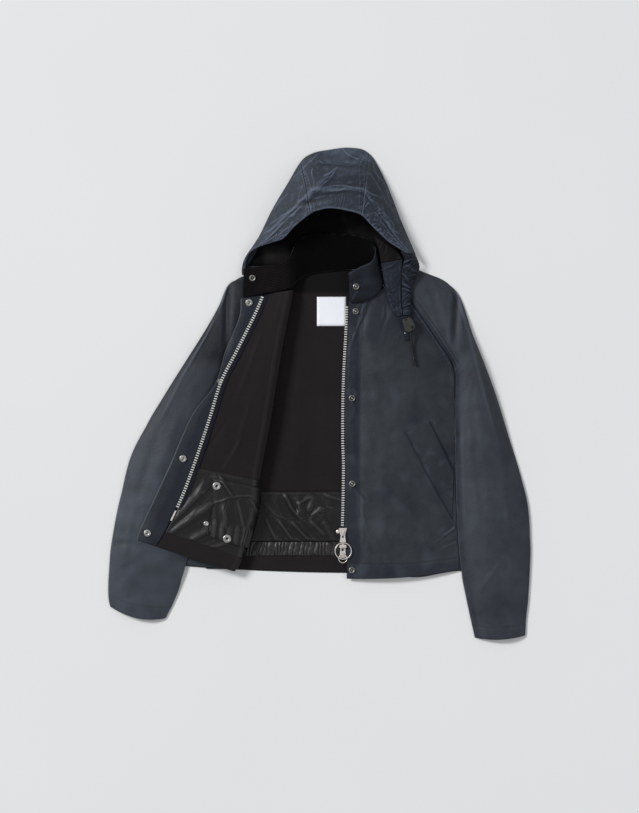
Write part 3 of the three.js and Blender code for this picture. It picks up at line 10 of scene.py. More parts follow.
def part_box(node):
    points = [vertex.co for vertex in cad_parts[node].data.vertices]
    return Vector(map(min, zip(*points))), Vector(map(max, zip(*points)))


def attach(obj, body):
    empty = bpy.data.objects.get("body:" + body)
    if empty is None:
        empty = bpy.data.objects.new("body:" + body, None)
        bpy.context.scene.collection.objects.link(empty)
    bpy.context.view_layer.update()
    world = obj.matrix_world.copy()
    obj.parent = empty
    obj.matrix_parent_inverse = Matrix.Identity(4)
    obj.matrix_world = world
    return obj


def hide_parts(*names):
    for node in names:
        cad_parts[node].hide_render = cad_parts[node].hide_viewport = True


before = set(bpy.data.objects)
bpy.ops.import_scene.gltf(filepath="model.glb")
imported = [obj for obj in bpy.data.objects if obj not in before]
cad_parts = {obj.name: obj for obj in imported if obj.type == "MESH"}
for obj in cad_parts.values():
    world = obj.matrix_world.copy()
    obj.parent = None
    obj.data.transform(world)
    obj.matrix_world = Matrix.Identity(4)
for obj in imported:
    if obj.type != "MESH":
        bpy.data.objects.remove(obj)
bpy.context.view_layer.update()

# A waxed cotton jacket with a hood, laid open and flat, one front folded back over its sleeve.
# Lengths are in millimetres until a mesh is made. The tables repeat the plan of the solids.

MM = 0.001

# Cloth
CLOTH = 1.2
LINING = 1.0
CORDUROY = 1.4
SEAM = 0.5
GAP = 0.4
BACK_LINING_TOP = CLOTH + GAP + LINING
STACK = 4.2
FOLD_BASE = 2.2
SHELL_UNDER_LINING = LINING + GAP

# The solids are centred on their own box, and the corner of one flat node gives the shift.
LINING_CORNER = (-157.5, -204.8)
low_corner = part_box("back_lining")[0]
SHIFT = np.array([
    low_corner[0] / MM - LINING_CORNER[0],
    low_corner[1] / MM - LINING_CORNER[1],
    0.0,
])


def metres(points):
    return (np.asarray(points, float) + SHIFT) * MM


# Camera, straight above; a long lens keeps the raised cloth in place
CAMERA_HEIGHT = 6000.0
VIEW_LENGTH = 1707.0  # of the floor, along the picture's long side
SENSOR = 36.0
VIEW_CENTRE = (1.1, -27.3)
camera_data = bpy.data.cameras.new("camera")
camera_data.sensor_width = SENSOR
camera_data.lens = SENSOR * CAMERA_HEIGHT / VIEW_LENGTH
camera_data.clip_end = 100
camera = bpy.data.objects.new("camera", camera_data)
camera.location = metres((*VIEW_CENTRE, CAMERA_HEIGHT))
bpy.context.scene.collection.objects.link(camera)
bpy.context.scene.camera = camera


# Tables and curves
def table(names, *rows):
    return dict(zip(names.split(), np.array(rows, float).T))


def clamp(t):
    return np.clip(t, 0.0, 1.0)


def ease(t):
    t = clamp(t)
    return t * t * (3 - 2 * t)


def mix(a, b, t):
    return a + (b - a) * t


def cubic(a, rise, start, end, t):
    return a + start * t + (3 * rise - 2 * start - end) * t**2 + (start + end - 2 * rise) * t**3


def smooth(rows, key, column, at):
    """One column of a table, smooth between its rows, where the column "key" reaches "at"."""
    k, c = rows[key], rows[column]
    if k[0] > k[-1]:
        k, c = k[::-1], c[::-1]
    last = len(k) - 1
    at = np.asarray(at, float)
    i = np.clip(np.searchsorted(k, at, side="right") - 1, 0, last - 1)
    span = k[i + 1] - k[i]
    before, after = np.maximum(i - 1, 0), np.minimum(i + 2, last)
    start = (c[i + 1] - c[before]) / (k[i + 1] - k[before]) * span
    end = (c[after] - c[i]) / (k[after] - k[i]) * span
    return cubic(c[i], c[i + 1] - c[i], start, end, clamp((at - k[i]) / span))


def spread(rows, column, v):
    """The same, where the rows are evenly spaced from 0 to 1."""
    c = rows[column]
    last = len(c) - 1
    at = clamp(np.asarray(v, float)) * last
    i = np.minimum(at.astype(int), last - 1)
    rise = c[i + 1] - c[i]
    start = np.where(i == 0, rise, (c[i + 1] - c[np.maximum(i - 1, 0)]) / 2)
    end = np.where(i + 1 == last, rise, (c[np.minimum(i + 2, last)] - c[i]) / 2)
    return cubic(c[i], rise, start, end, at - i)


def points(x, y, z):
    x, y, z = np.broadcast_arrays(x, y, z)
    return np.stack([x, y, z], axis=-1).astype(float)


def unit(v):
    return v / np.maximum(np.linalg.norm(v, axis=-1, keepdims=True), 1e-9)


def fold(x, y, x0, y0, x1, y1, width, height):
    """A soft ridge (height above 0) or trough (below 0) along a straight line in plan."""
    run = math.hypot(x1 - x0, y1 - y0)
    along = ((x - x0) * (x1 - x0) + (y - y0) * (y1 - y0)) / run
    aside = ((x - x0) * (y1 - y0) - (y - y0) * (x1 - x0)) / run
    fade = max(width, run * 0.25)
    ends = ease((along + fade) / (2 * fade)) * ease((run + fade - along) / (2 * fade))
    return height * np.exp(-((aside / width) ** 2)) * ends


def fold_sum(rows, x, y):
    total = np.zeros(np.broadcast(x, y).shape)
    for row in zip(*rows.values()):
        total = total + fold(x, y, *row)
    return total


# Seeded noise over the plan, and the crumple of cloth that is made from it
ANGLES = np.random.default_rng(11).random((64, 64)) * 2 * math.pi


def noise(x, y, size, seed=0.0):
    gx, gy = x / size + 19.37 * seed, y / size + 7.13 * seed
    ix, iy = np.floor(gx).astype(int), np.floor(gy).astype(int)
    fx, fy = gx - ix, gy - iy
    wx, wy = ease(fx), ease(fy)
    total = 0.0
    for dx in (0, 1):
        for dy in (0, 1):
            angle = ANGLES[(ix + dx) % 64, (iy + dy) % 64]
            dot = np.cos(angle) * (fx - dx) + np.sin(angle) * (fy - dy)
            total = total + dot * (wx if dx else 1 - wx) * (wy if dy else 1 - wy)
    return 1.5 * total


def crumple(x, y, size, angle=0.0, stretch=2.0, seed=1.0):
    """Soft swells with sharper ridges on them, longer along the angle (degrees), from about -1 to 1."""
    c, s = math.cos(math.radians(angle)), math.sin(math.radians(angle))
    a, b = (x * c + y * s) / stretch, -x * s + y * c
    bend_a = a + 0.6 * size * noise(a, b, 1.9 * size, seed + 3)
    bend_b = b + 0.6 * size * noise(a, b, 1.7 * size, seed + 5)
    swell = noise(bend_a, bend_b, size, seed)
    ridge = 0.45 - np.abs(noise(bend_a, bend_b, 0.8 * size, seed + 7))
    fine = 0.45 - np.abs(noise(bend_a, bend_b, 0.37 * size, seed + 9))
    return 0.55 * swell + 0.6 * ridge + 0.25 * fine


PUCKER_REACH = 13.0


def pucker(distance, along, size=9.0, seed=4.0):
    """Small gathers square to a seam, fading away from it."""
    wave = noise(along, along * 0 + 31.0 * seed, size, seed) * np.sin(2 * math.pi * along / size)
    return wave * np.exp(-((distance / PUCKER_REACH) ** 2))


# Mesh making
def mesh_object(name, verts, faces, uv=None, crease=None, tint=None, material=None, shade=True):
    """verts in millimetres; faces an array of quads or triangles, or a list of such arrays."""
    blocks = faces if isinstance(faces, list) else [faces]
    mesh = bpy.data.meshes.new(name)
    mesh.vertices.add(len(verts))
    mesh.vertices.foreach_set("co", metres(verts).astype(np.float32).ravel())
    loops = np.concatenate([np.asarray(block).ravel() for block in blocks])
    sizes = np.concatenate([np.full(len(block), np.asarray(block).shape[1]) for block in blocks])
    mesh.loops.add(len(loops))
    mesh.loops.foreach_set("vertex_index", loops.astype(np.int32))
    mesh.polygons.add(len(sizes))
    mesh.polygons.foreach_set("loop_start", (np.cumsum(sizes) - sizes).astype(np.int32))
    if uv is not None:
        layer = mesh.uv_layers.new(name="weave")
        layer.data.foreach_set("uv", (uv[loops] * MM).astype(np.float32).ravel())
    if crease is not None:
        mesh.attributes.new("crease", "FLOAT", "POINT").data.foreach_set("value", crease.astype(np.float32))
    if tint is not None:
        mesh.attributes.new("tint", "FLOAT", "POINT").data.foreach_set("value", tint.astype(np.float32))
    mesh.update(calc_edges=True)
    mesh.validate()
    mesh.polygons.foreach_set("use_smooth", np.full(len(mesh.polygons), shade))
    if material is not None:
        mesh.materials.append(material)
    made = bpy.data.objects.new(name, mesh)
    bpy.context.scene.collection.objects.link(made)
    return made


def grid_quads(columns, rows, flip=False):
    i, j = np.meshgrid(np.arange(columns), np.arange(rows))
    a = (j * (columns + 1) + i).ravel()
    quads = np.stack([a, a + 1, a + columns + 2, a + columns + 1], axis=1)
    return quads[:, ::-1] if flip else quads


def normals(p, side):
    du, dv = np.gradient(p, axis=1), np.gradient(p, axis=0)
    return unit(np.cross(du, dv)) * side


def lengths(p):
    """Running length along the columns and the rows of a grid of points."""
    across = np.linalg.norm(np.diff(p, axis=1), axis=-1)
    down = np.linalg.norm(np.diff(p, axis=0), axis=-1)
    u = np.concatenate([np.zeros((p.shape[0], 1)), np.cumsum(across, axis=1)], axis=1)
    v = np.concatenate([np.zeros((1, p.shape[1])), np.cumsum(down, axis=0)], axis=0)
    return u, v


SOFT_EDGE = 0.3  # how far a wall's face and back draw in at its edge, as a share of its thickness


def shell(
    name, point, columns, rows, thickness, material, lift=0.0, side=-1, spacing=None, relief=None, tint=None,
    lines=None, wear=8.0,
):
    """A closed wall of cloth around point(u, v), with relief(x, y, u, v) on both of its faces. The tint
    darkens it, partly as the cloth's own darker places and partly as painted shade, and the lines are pale
    creases and edges, partly painted highlights; both are functions of the same four. The last argument is
    how much the relief's bends
    colour it by themselves: ridges pale with wax wear and painted sheen, hollows darken with painted shade."""
    s = np.linspace(0, 1, columns + 1)
    if spacing is not None:
        s = spacing(s)
    u, v = np.meshgrid(s, np.linspace(0, 1, rows + 1))
    p = point(u, v)
    cut = lengths(p)
    if relief is not None:
        height = relief(p[..., 0], p[..., 1], u, v)
        p = p + normals(p, side) * height[..., None]
    n = normals(p, side)
    rim = np.zeros(u.shape, bool)
    rim[0] = rim[-1] = rim[:, 0] = rim[:, -1] = True
    draw = np.where(rim, SOFT_EDGE * thickness, 0.0)[..., None]
    face = p + n * (lift - draw)
    back = p + n * (lift - thickness + draw)
    step = np.maximum(np.gradient(cut[0], axis=1), 0.5), np.maximum(np.gradient(cut[1], axis=0), 0.5)
    bend = (np.gradient(n, axis=1) * np.gradient(p, axis=1)).sum(-1) / step[0] ** 2
    bend = bend + (np.gradient(n, axis=0) * np.gradient(p, axis=0)).sum(-1) / step[1] ** 2
    # Bends of the relief colour the cloth: ridges pale with wax wear and painted sheen, hollows darken with
    # painted shade.
    crease = np.where(rim, 0.0, bend * wear)
    if lines is not None:
        crease = crease + lines(p[..., 0], p[..., 1], u, v)
    crease = np.clip(crease, -1, 1).ravel()
    count = u.size
    top = grid_quads(columns, rows, flip=side < 0)
    under = grid_quads(columns, rows, flip=side > 0) + count
    ring = np.concatenate([
        np.arange(columns),
        columns + np.arange(rows) * (columns + 1),
        (columns + 1) * (rows + 1) - 1 - np.arange(columns),
        rows * (columns + 1) - np.arange(rows) * (columns + 1),
    ])
    onward = np.roll(ring, -1)
    rims = np.stack([ring, ring + count, onward + count, onward], axis=1)
    if side < 0:
        rims = rims[:, ::-1]
    uv = np.stack([cut[0].ravel(), cut[1].ravel()], axis=1)
    shade = np.zeros(u.shape) if tint is None else clamp(tint(p[..., 0], p[..., 1], u, v) + 0 * u)
    made = mesh_object(
        name,
        np.concatenate([face.reshape(-1, 3), back.reshape(-1, 3)]),
        [np.concatenate([top, under, rims])],
        uv=np.concatenate([uv, uv]),
        crease=np.concatenate([crease, crease]),
        tint=np.concatenate([shade.ravel(), shade.ravel()]),
        material=material,
    )
    made["cut"] = [float(np.mean(cut[0][:, -1])), float(np.mean(cut[1][-1, :]))]
    area = np.linalg.norm(np.cross(np.diff(p[:-1], axis=1), np.diff(p[:, :-1], axis=0)), axis=-1).sum()
    made["area"] = float(area)
    return made


DRESSED = {}
NARROWEST_SHEET = 0.01  # metres; for a narrower tape the rest of the sizing is skipped


def dress(node, point, columns, rows, thickness, material, slot, held="laid", rests=(), **options):
    """The cloth that stands for one node, made in its place, with the node hidden."""
    made = shell(node + "_cloth", point, columns, rows, thickness, material, **options)
    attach(made, "root")
    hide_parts(node)
    DRESSED[node] = made
    width, length = (value * MM for value in made["cut"])
    if min(width, length) < NARROWEST_SHEET:
        return made
    area = made["area"] * MM * MM
    if area > width * length or area < 0.3 * width * length:
        width, length = (value * math.sqrt(area / (width * length)) * 1.01 for value in (width, length))
    return made


# Materials
def linear(red, green, blue):
    """A screen colour from 0 to 255 as a shader colour."""
    share = np.array([red, green, blue], float) / 255
    value = np.where(share <= 0.04045, share / 12.92, ((share + 0.055) / 1.055) ** 2.4)
    return (*value, 1.0)


def add_node(tree, kind, inputs=None, **settings):
    made = tree.nodes.new(kind)
    for key, value in settings.items():
        setattr(made, key, value)
    for key, value in (inputs or {}).items():
        if isinstance(value, bpy.types.NodeSocket):
            tree.links.new(value, made.inputs[key])
        else:
            made.inputs[key].default_value = value
    return made


def start_material(name, roughness, **fixed):
    made = bpy.data.materials.new(name)
    made.use_nodes = True
    shader = made.node_tree.nodes["Principled BSDF"]
    shader.inputs["Roughness"].default_value = roughness
    for key, value in fixed.items():
        shader.inputs[key.replace("_", " ")].default_value = value
    return made, made.node_tree, shader


def noise_node(tree, place, per_metre, detail=4.0, roughness=0.55, distortion=0.0):
    return add_node(tree, "ShaderNodeTexNoise", {
        "Vector": place, "Scale": per_metre, "Detail": detail, "Roughness": roughness,
        "Distortion": distortion,
    }).outputs["Fac"]


def span(tree, value, low, high, to_low=0.0, to_high=1.0):
    return add_node(tree, "ShaderNodeMapRange", {
        "Value": value, "From Min": low, "From Max": high, "To Min": to_low, "To Max": to_high,
    }).outputs["Result"]


def blend_colours(tree, share, first, second):
    made = add_node(tree, "ShaderNodeMix", data_type="RGBA")
    for key, value in (("Factor", share), ("A", first), ("B", second)):
        socket = next(s for s in made.inputs if s.name == key and s.enabled and s.type in ("RGBA", "VALUE"))
        if isinstance(value, bpy.types.NodeSocket):
            tree.links.new(value, socket)
        else:
            socket.default_value = value
    return next(s for s in made.outputs if s.type == "RGBA")


WAVE_TURN = 0.314  # a Wave texture's wavelength at scale 1


def wave_node(tree, place, pitch, direction, distortion=0.0):
    return add_node(tree, "ShaderNodeTexWave", {
        "Vector": place, "Scale": WAVE_TURN / pitch, "Distortion": distortion, "Detail": 1.0,
    }, bands_direction=direction).outputs["Fac"]


def bump_node(tree, height, strength, distance, under=None):
    inputs = {"Height": height, "Strength": strength, "Distance": distance}
    if under is not None:
        inputs["Normal"] = under
    return add_node(tree, "ShaderNodeBump", inputs).outputs["Normal"]


def cloth_material(name, dark, light, worn, tinted, roughness, thread, crinkle, rough_span=0.08, **fixed):
    """Woven cloth: dark and light patches, ridges paled toward the worn colour by wax wear and painted sheen,
    painted shade in its hollows, darker places that are partly the cloth's own and partly painted shade,
    crinkles (size, depth) and a weave.
    """
    made, tree, shader = start_material(name, roughness, **fixed)
    place = add_node(tree, "ShaderNodeTexCoord").outputs["Object"]
    weave = add_node(tree, "ShaderNodeUVMap", uv_map="weave").outputs["UV"]
    crease = add_node(tree, "ShaderNodeAttribute", attribute_name="crease").outputs["Fac"]
    patches = noise_node(tree, place, 9.0, 6.0, 0.65)
    base = blend_colours(tree, span(tree, patches, 0.35, 0.68), dark, light)
    grain = noise_node(tree, place, 700.0, 3.0, 0.7)
    base = blend_colours(tree, span(tree, grain, 0.3, 0.75, 0.0, 0.3), base, worn)
    # The point attribute read here darkens the cloth: partly its own darker places, partly painted shade.
    tint = add_node(tree, "ShaderNodeAttribute", attribute_name="tint").outputs["Fac"]
    base = blend_colours(tree, span(tree, tint, 0.0, 1.0), base, tinted)
    # Ridges pale toward the worn colour: wax wear and a painted sheen highlight.
    ridge = span(tree, crease, 0.06, 0.7, 0.0, 0.85)
    base = blend_colours(tree, ridge, base, worn)
    # Hollows darken toward the dark colour: painted shade in the creases.
    hollow = span(tree, crease, -0.06, -0.6, 0.0, 0.55)
    tree.links.new(blend_colours(tree, hollow, base, tinted), shader.inputs["Base Color"])
    size, depth = crinkle
    fine = noise_node(tree, place, 1 / size, 7.0, 0.62, 1.2)
    wanted = span(tree, patches, 0.3, 0.7, roughness - rough_span, roughness + rough_span)
    tree.links.new(wanted, shader.inputs["Roughness"])
    warp = wave_node(tree, weave, thread, "X")
    weft = wave_node(tree, weave, thread, "Y")
    threads = add_node(tree, "ShaderNodeMath", {0: warp, 1: weft}, operation="MAXIMUM").outputs[0]
    creased = bump_node(tree, fine, 0.7, depth)
    tree.links.new(bump_node(tree, threads, 0.35, 0.15 * thread, creased), shader.inputs["Normal"])
    return made


WAXED = cloth_material(
    "waxed_cotton", linear(29, 33, 36), linear(45, 50, 53), linear(72, 78, 89), linear(25, 29, 40), 0.58,
    0.0006,
    (0.011, 0.0009), Specular_IOR_Level=0.26,
)
HOOD_WAXED = cloth_material(
    "hood_waxed_cotton", linear(28, 32, 39), linear(39, 44, 52), linear(88, 98, 115), linear(12, 14, 20), 0.6,
    0.0006, (0.010, 0.0009), Specular_IOR_Level=0.24,
)
SHADED_WAXED = cloth_material(
    "shaded_waxed_cotton", linear(19, 22, 27), linear(28, 32, 39), linear(66, 74, 90), linear(8, 9, 13), 0.66,
    0.0006, (0.010, 0.0009), Specular_IOR_Level=0.12,
)
SLEEVE_WAXED = cloth_material(
    "sleeve_waxed_cotton", linear(38, 41, 48), linear(50, 54, 60), linear(80, 88, 100), linear(20, 22, 30),
    0.57,
    0.0006, (0.012, 0.0009), Specular_IOR_Level=0.27,
)
COTTON = cloth_material(
    "cotton_lining", linear(25, 21, 22), linear(32, 28, 29), linear(44, 40, 41), linear(11, 10, 11), 0.92,
    0.0007,
    (0.016, 0.0006), 0.04, Specular_IOR_Level=0.1, Sheen_Weight=0.05, Sheen_Roughness=0.6,
)
NYLON = cloth_material(
    "nylon_lining", linear(13, 12, 12), linear(19, 18, 18), linear(46, 43, 43), linear(5, 5, 5), 0.42, 0.0004,
    (0.009, 0.0005), Specular_IOR_Level=0.32,
)
BLACK = cloth_material(
    "black_lining", linear(6, 6, 6), linear(10, 10, 10), linear(36, 34, 34), linear(2, 2, 2), 0.95, 0.0007,
    (0.016, 0.0006), 0.03, Specular_IOR_Level=0.05,
)
LABEL = cloth_material(
    "label_tape", linear(236, 239, 246), linear(246, 248, 253), linear(252, 253, 255),
    linear(200, 203, 210), 0.8,
    0.0011, (0.02, 0.0003), 0.05, Specular_IOR_Level=0.2,
)
TAPE = cloth_material(
    "zip_tape", linear(18, 19, 26), linear(24, 25, 34), linear(36, 37, 46), linear(8, 8, 10), 0.85, 0.0013,
    (0.02, 0.0003), 0.05, Specular_IOR_Level=0.15,
)


def corduroy_material():
    made, tree, shader = start_material("corduroy", 0.97, Specular_IOR_Level=0.04, Sheen_Weight=0.05)
    shader.inputs["Sheen Roughness"].default_value = 0.5
    weave = add_node(tree, "ShaderNodeUVMap", uv_map="weave").outputs["UV"]
    place = add_node(tree, "ShaderNodeTexCoord").outputs["Object"]
    wales = wave_node(tree, weave, 0.0034, "Y", 0.3)
    pile = noise_node(tree, place, 1800.0, 2.0)
    worn = noise_node(tree, place, 14.0, 4.0)
    base = blend_colours(tree, span(tree, wales, 0.1, 0.9), linear(5, 4, 4), linear(25, 22, 22))
    worn_share = span(tree, worn, 0.45, 0.8, 0.0, 0.5)
    base = blend_colours(tree, worn_share, base, linear(36, 31, 31))
    # The point attribute darkens the pile to near black: painted shade where the hood shades the collar.
    tint = add_node(tree, "ShaderNodeAttribute", attribute_name="tint").outputs["Fac"]
    tree.links.new(blend_colours(tree, tint, base, linear(3, 3, 3)), shader.inputs["Base Color"])
    ribs = bump_node(tree, wales, 0.9, 0.0011)
    tree.links.new(bump_node(tree, pile, 0.4, 0.0002, ribs), shader.inputs["Normal"])
    return made


def metal_material(name, dark, light, roughness, metallic=0.7):
    made, tree, shader = start_material(name, roughness, Metallic=metallic)
    place = add_node(tree, "ShaderNodeTexCoord").outputs["Object"]
    tarnish = noise_node(tree, place, 220.0, 5.0, 0.6)
    scratches = noise_node(tree, place, 1500.0, 2.0)
    base = blend_colours(tree, span(tree, tarnish, 0.35, 0.65), dark, light)
    tree.links.new(base, shader.inputs["Base Color"])
    wanted = span(tree, tarnish, 0.3, 0.7, roughness + 0.12, roughness - 0.08)
    tree.links.new(wanted, shader.inputs["Roughness"])
    tree.links.new(bump_node(tree, scratches, 0.2, 0.0001), shader.inputs["Normal"])
    return made


def moulded_material(name, dark, light, roughness, grain, depth):
    made, tree, shader = start_material(name, roughness)
    place = add_node(tree, "ShaderNodeTexCoord").outputs["Object"]
    tone = noise_node(tree, place, 120.0, 4.0)
    pits = noise_node(tree, place, 1 / grain, 3.0)
    tree.links.new(blend_colours(tree, span(tree, tone, 0.3, 0.7), dark, light), shader.inputs["Base Color"])
    wanted = span(tree, tone, 0.3, 0.7, roughness - 0.05, roughness + 0.08)
    tree.links.new(wanted, shader.inputs["Roughness"])
    tree.links.new(bump_node(tree, pits, 0.4, depth), shader.inputs["Normal"])
    return made


CORD_CLOTH = corduroy_material()
STEEL = metal_material("zip_metal", linear(214, 206, 199), linear(242, 235, 229), 0.33, 0.55)
TEETH_METAL = metal_material("zip_teeth_metal", linear(226, 224, 220), linear(250, 249, 246), 0.3, 0.45)
SNAP_METAL = metal_material("snap_metal", linear(112, 111, 106), linear(168, 167, 161), 0.34, 0.8)
BRIGHT_SNAP = metal_material("bright_snap_metal", linear(140, 139, 136), linear(206, 205, 202), 0.3, 0.75)
# Near-black for flat discs of painted shadow in holes.
SHADOW = moulded_material("painted_hole_shadow", linear(7, 7, 7), linear(14, 14, 14), 0.9, 0.001, 0.0001)
PLASTIC = moulded_material("dark_plastic", linear(38, 37, 35), linear(48, 47, 44), 0.5, 0.0011, 0.00012)
GLOSS_PLASTIC = moulded_material(
    "gloss_plastic", linear(20, 19, 21), linear(30, 29, 32), 0.22, 0.002, 0.00006,
)
CORD = moulded_material("braided_cord", linear(19, 16, 15), linear(36, 30, 28), 0.9, 0.0011, 0.0006)
THREAD = moulded_material("thread", linear(20, 21, 25), linear(32, 34, 39), 0.8, 0.0006, 0.0001)
LIGHT_THREAD = moulded_material("worn_thread", linear(58, 62, 70), linear(84, 89, 98), 0.8, 0.0006, 0.0001)


# Seams in plan, and the surfaces of the panels
BACK_EDGE = table(
    "y left right",
    (259.4, -48.3, 109.2),
    (196.3, -98.7, 157.5),
    (120.8, -151.2, 212.1),
    (45.1, -203.7, 258.3),
    (-5.2, -235.2, 282.4),
    (-76.7, -256.2, 284.8),
    (-202.7, -270.9, 287.7),
    (-318.2, -280.4, 294),
    (-379.1, -285.2, 299.2),
)
RIGHT_SEAM = table(
    "y x",
    (230, 136.5),
    (190.1, 192.2),
    (120.8, 241.5),
    (57.8, 280.4),
    (-13.7, 284.6),
    (-118.7, 285.6),
    (-248.9, 288.5),
    (-362.2, 296.7),
    (-433.7, 309.8),
    (-517.6, 328.2),
)


def back_left(y):
    return smooth(BACK_EDGE, "y", "left", y)


def back_right(y):
    return smooth(BACK_EDGE, "y", "right", y)


def right_seam(y):
    return smooth(RIGHT_SEAM, "y", "x", y)


def bow_of(rows, u, v):
    return spread(rows, "bow", v) * 4 * u * (1 - u)


def section_point(rows, height):
    """A panel whose sections run from its left edge to its right edge; height(x, y, u, v) is its level."""
    def point(u, v):
        x = mix(spread(rows, "left_x", v), spread(rows, "right_x", v), u)
        y = mix(spread(rows, "left_y", v), spread(rows, "right_y", v), u) + bow_of(rows, u, v)
        return points(x, y, height(x, y, u, v))
    return point


def level(z):
    return lambda x, y, u, v: z + 0 * x


def round_ends(t):
    return (1 - np.cos(math.pi * t)) / 2


def bump(u):
    return np.sin(math.pi * clamp(u)) ** 0.7


def edge_fade(u, reach=0.12):
    return ease(np.minimum(u, 1 - u) / reach)


def inside(u, v, across=0.06, along=0.03):
    """1 inside a panel, falling to 0 at its edges, where it is sewn."""
    return edge_fade(u, across) * edge_fade(v, along)


BACK = table(
    "left_y right_y bow",
    (259.4, 259.4, 0),
    (196.3, 196.3, 0),
    (120.8, 120.8, 0),
    (45.1, 45.1, 0),
    (-5.2, -5.2, 0),
    (-76.7, -76.7, 0),
    (-202.7, -202.7, 0),
    (-307.7, -307.7, -2),
    (-362.2, -371.7, -9),
)
TAIL_AT, TAIL_WIDTH, TAIL_DROP = 0.84, 0.09, -11


def back_point(u, v):
    left_y, right_y = spread(BACK, "left_y", v), spread(BACK, "right_y", v)
    tail = TAIL_DROP * np.exp(-(((u - TAIL_AT) / TAIL_WIDTH) ** 2)) * v**8
    x = mix(back_left(left_y), back_right(right_y), u)
    return points(x, mix(left_y, right_y, u) + bow_of(BACK, u, v) + tail, CLOTH)


OUTER_EDGE = 2.9
LEFT_SLEEVE = table(
    "left_x left_y right_x right_y bow inner crown",
    (-119.7, 265.7, -102.9, 244.7, 0, 5.4, 1),
    (-159.6, 243.6, -111.3, 219.5, 0, 6.6, 3),
    (-190.1, 227.9, -123.9, 196.3, 0, 6.6, 7),
    (-211.1, 181.7, -140.7, 162.8, 0, 6.6, 10),
    (-238.4, 133.3, -159.6, 120.8, 0, 6.6, 12),
    (-274.1, 76.7, -184.8, 70.4, 0, 6.6, 14),
    (-313.9, 13.7, -207.9, 7.4, 0, 6.6, 16),
    (-353.9, -53.6, -223.7, -62, 0, 6.6, 17),
    (-393.8, -129.2, -237.3, -139.7, 0, 6.6, 17.5),
    (-415.4, -213.2, -252, -223.7, 0, 6.6, 17.5),
    (-432.6, -297.2, -266.7, -307.7, 0, 6.6, 17),
    (-440.6, -370.7, -282.4, -370.7, -2, 6.2, 14),
    (-442.3, -421.1, -303.4, -433.7, -8, 3, 12),
    (-438.3, -447.3, -322.1, -471.5, -12, 2.8, 9),
)
LEFT_SLEEVE_FOLDS = table(
    "x0 y0 x1 y1 width height",
    (-192.6, 226.8, -196.3, 91.4, 9, -5),
    (-222.6, 154.3, -325.5, -45.1, 14, 2.5),
    (-434.7, -313.9, -354.9, -318.2, 6, -1.2),
)


def left_sleeve_height(x, y, u, v):
    base = mix(OUTER_EDGE, spread(LEFT_SLEEVE, "inner", v), ease(u))
    crown = spread(LEFT_SLEEVE, "crown", v) * bump(u)
    return base + crown + fold_sum(LEFT_SLEEVE_FOLDS, x, y) * edge_fade(u)


LEFT_SLEEVE_BACK = table(
    "left_x left_y inner_y bow",
    (-126, 257.7, 258.5, 0),
    (-182.7, 231, 196.3, 0),
    (-228.9, 146, 120.8, 0),
    (-279.3, 68.2, 45.1, 0),
    (-323.4, -2.1, -5.2, 0),
    (-367.5, -78.8, -76.7, 0),
    (-412.7, -202.7, -202.7, 0),
    (-434.7, -307.7, -307.7, 0),
    (-440.2, -362.2, -362.2, -2),
    (-441.8, -400.1, -404.2, -4),
    (-441.8, -429.5, -437.9, -8),
    (-438.3, -447.3, -471.5, -12),
)
LEFT_INNER = table(
    "y x",
    (-379.1, -286.9),
    (-404.2, -291.9),
    (-433.7, -303.4),
    (-471.5, -322.1),
)
LEFT_INNER_FROM = -379.1


def left_sleeve_back_point(u, v):
    inner_y = spread(LEFT_SLEEVE_BACK, "inner_y", v)
    seam = back_left(inner_y) - 2 * SEAM
    inner = np.where(inner_y > LEFT_INNER_FROM, seam, smooth(LEFT_INNER, "y", "x", inner_y))
    x = mix(spread(LEFT_SLEEVE_BACK, "left_x", v), inner, u)
    y = mix(spread(LEFT_SLEEVE_BACK, "left_y", v), inner_y, u) + bow_of(LEFT_SLEEVE_BACK, u, v)
    return points(x, y, CLOTH)


RIGHT_SLEEVE = table(
    "inner_y right_x right_y bow inner crown",
    (224.7, 218.4, 255.2, 3, 12.5, 3),
    (190.1, 287.7, 214.6, 2, 12.5, 8),
    (120.8, 322.4, 125, 0, 11, 17),
    (57.8, 347.6, 62, 0, 7, 22),
    (-13.7, 374.9, -13.7, 0, 3.6, 24.5),
    (-118.7, 406.4, -120.8, 0, 3, 25),
    (-223.7, 436.4, -223.7, 0, 3, 24.5),
    (-311.9, 443.5, -311.9, 0, 3, 22.5),
    (-370.7, 442.7, -370.7, 0, 3, 20),
    (-433.7, 438.9, -433.7, -2, 3, 17),
    (-475.7, 435.1, -469.4, -4, 3, 13.5),
    (-512.4, 433, -507.6, -6, 3, 10),
)
RIGHT_SLEEVE_FOLDS = table(
    "x0 y0 x1 y1 width height",
    (289.8, 221.6, 282.4, 112.4, 9, -7),
    (302.4, 164.8, 354.9, -45.1, 12, 2.5),
)


def right_sleeve_point(u, v):
    inner_y = spread(RIGHT_SLEEVE, "inner_y", v)
    x = mix(right_seam(inner_y) + SEAM, spread(RIGHT_SLEEVE, "right_x", v), u)
    y = mix(inner_y, spread(RIGHT_SLEEVE, "right_y", v), u) + bow_of(RIGHT_SLEEVE, u, v)
    base = mix(spread(RIGHT_SLEEVE, "inner", v), OUTER_EDGE, ease(u))
    crown = spread(RIGHT_SLEEVE, "crown", v) * bump(u)
    return points(x, y, base + crown + fold_sum(RIGHT_SLEEVE_FOLDS, x, y) * edge_fade(u))


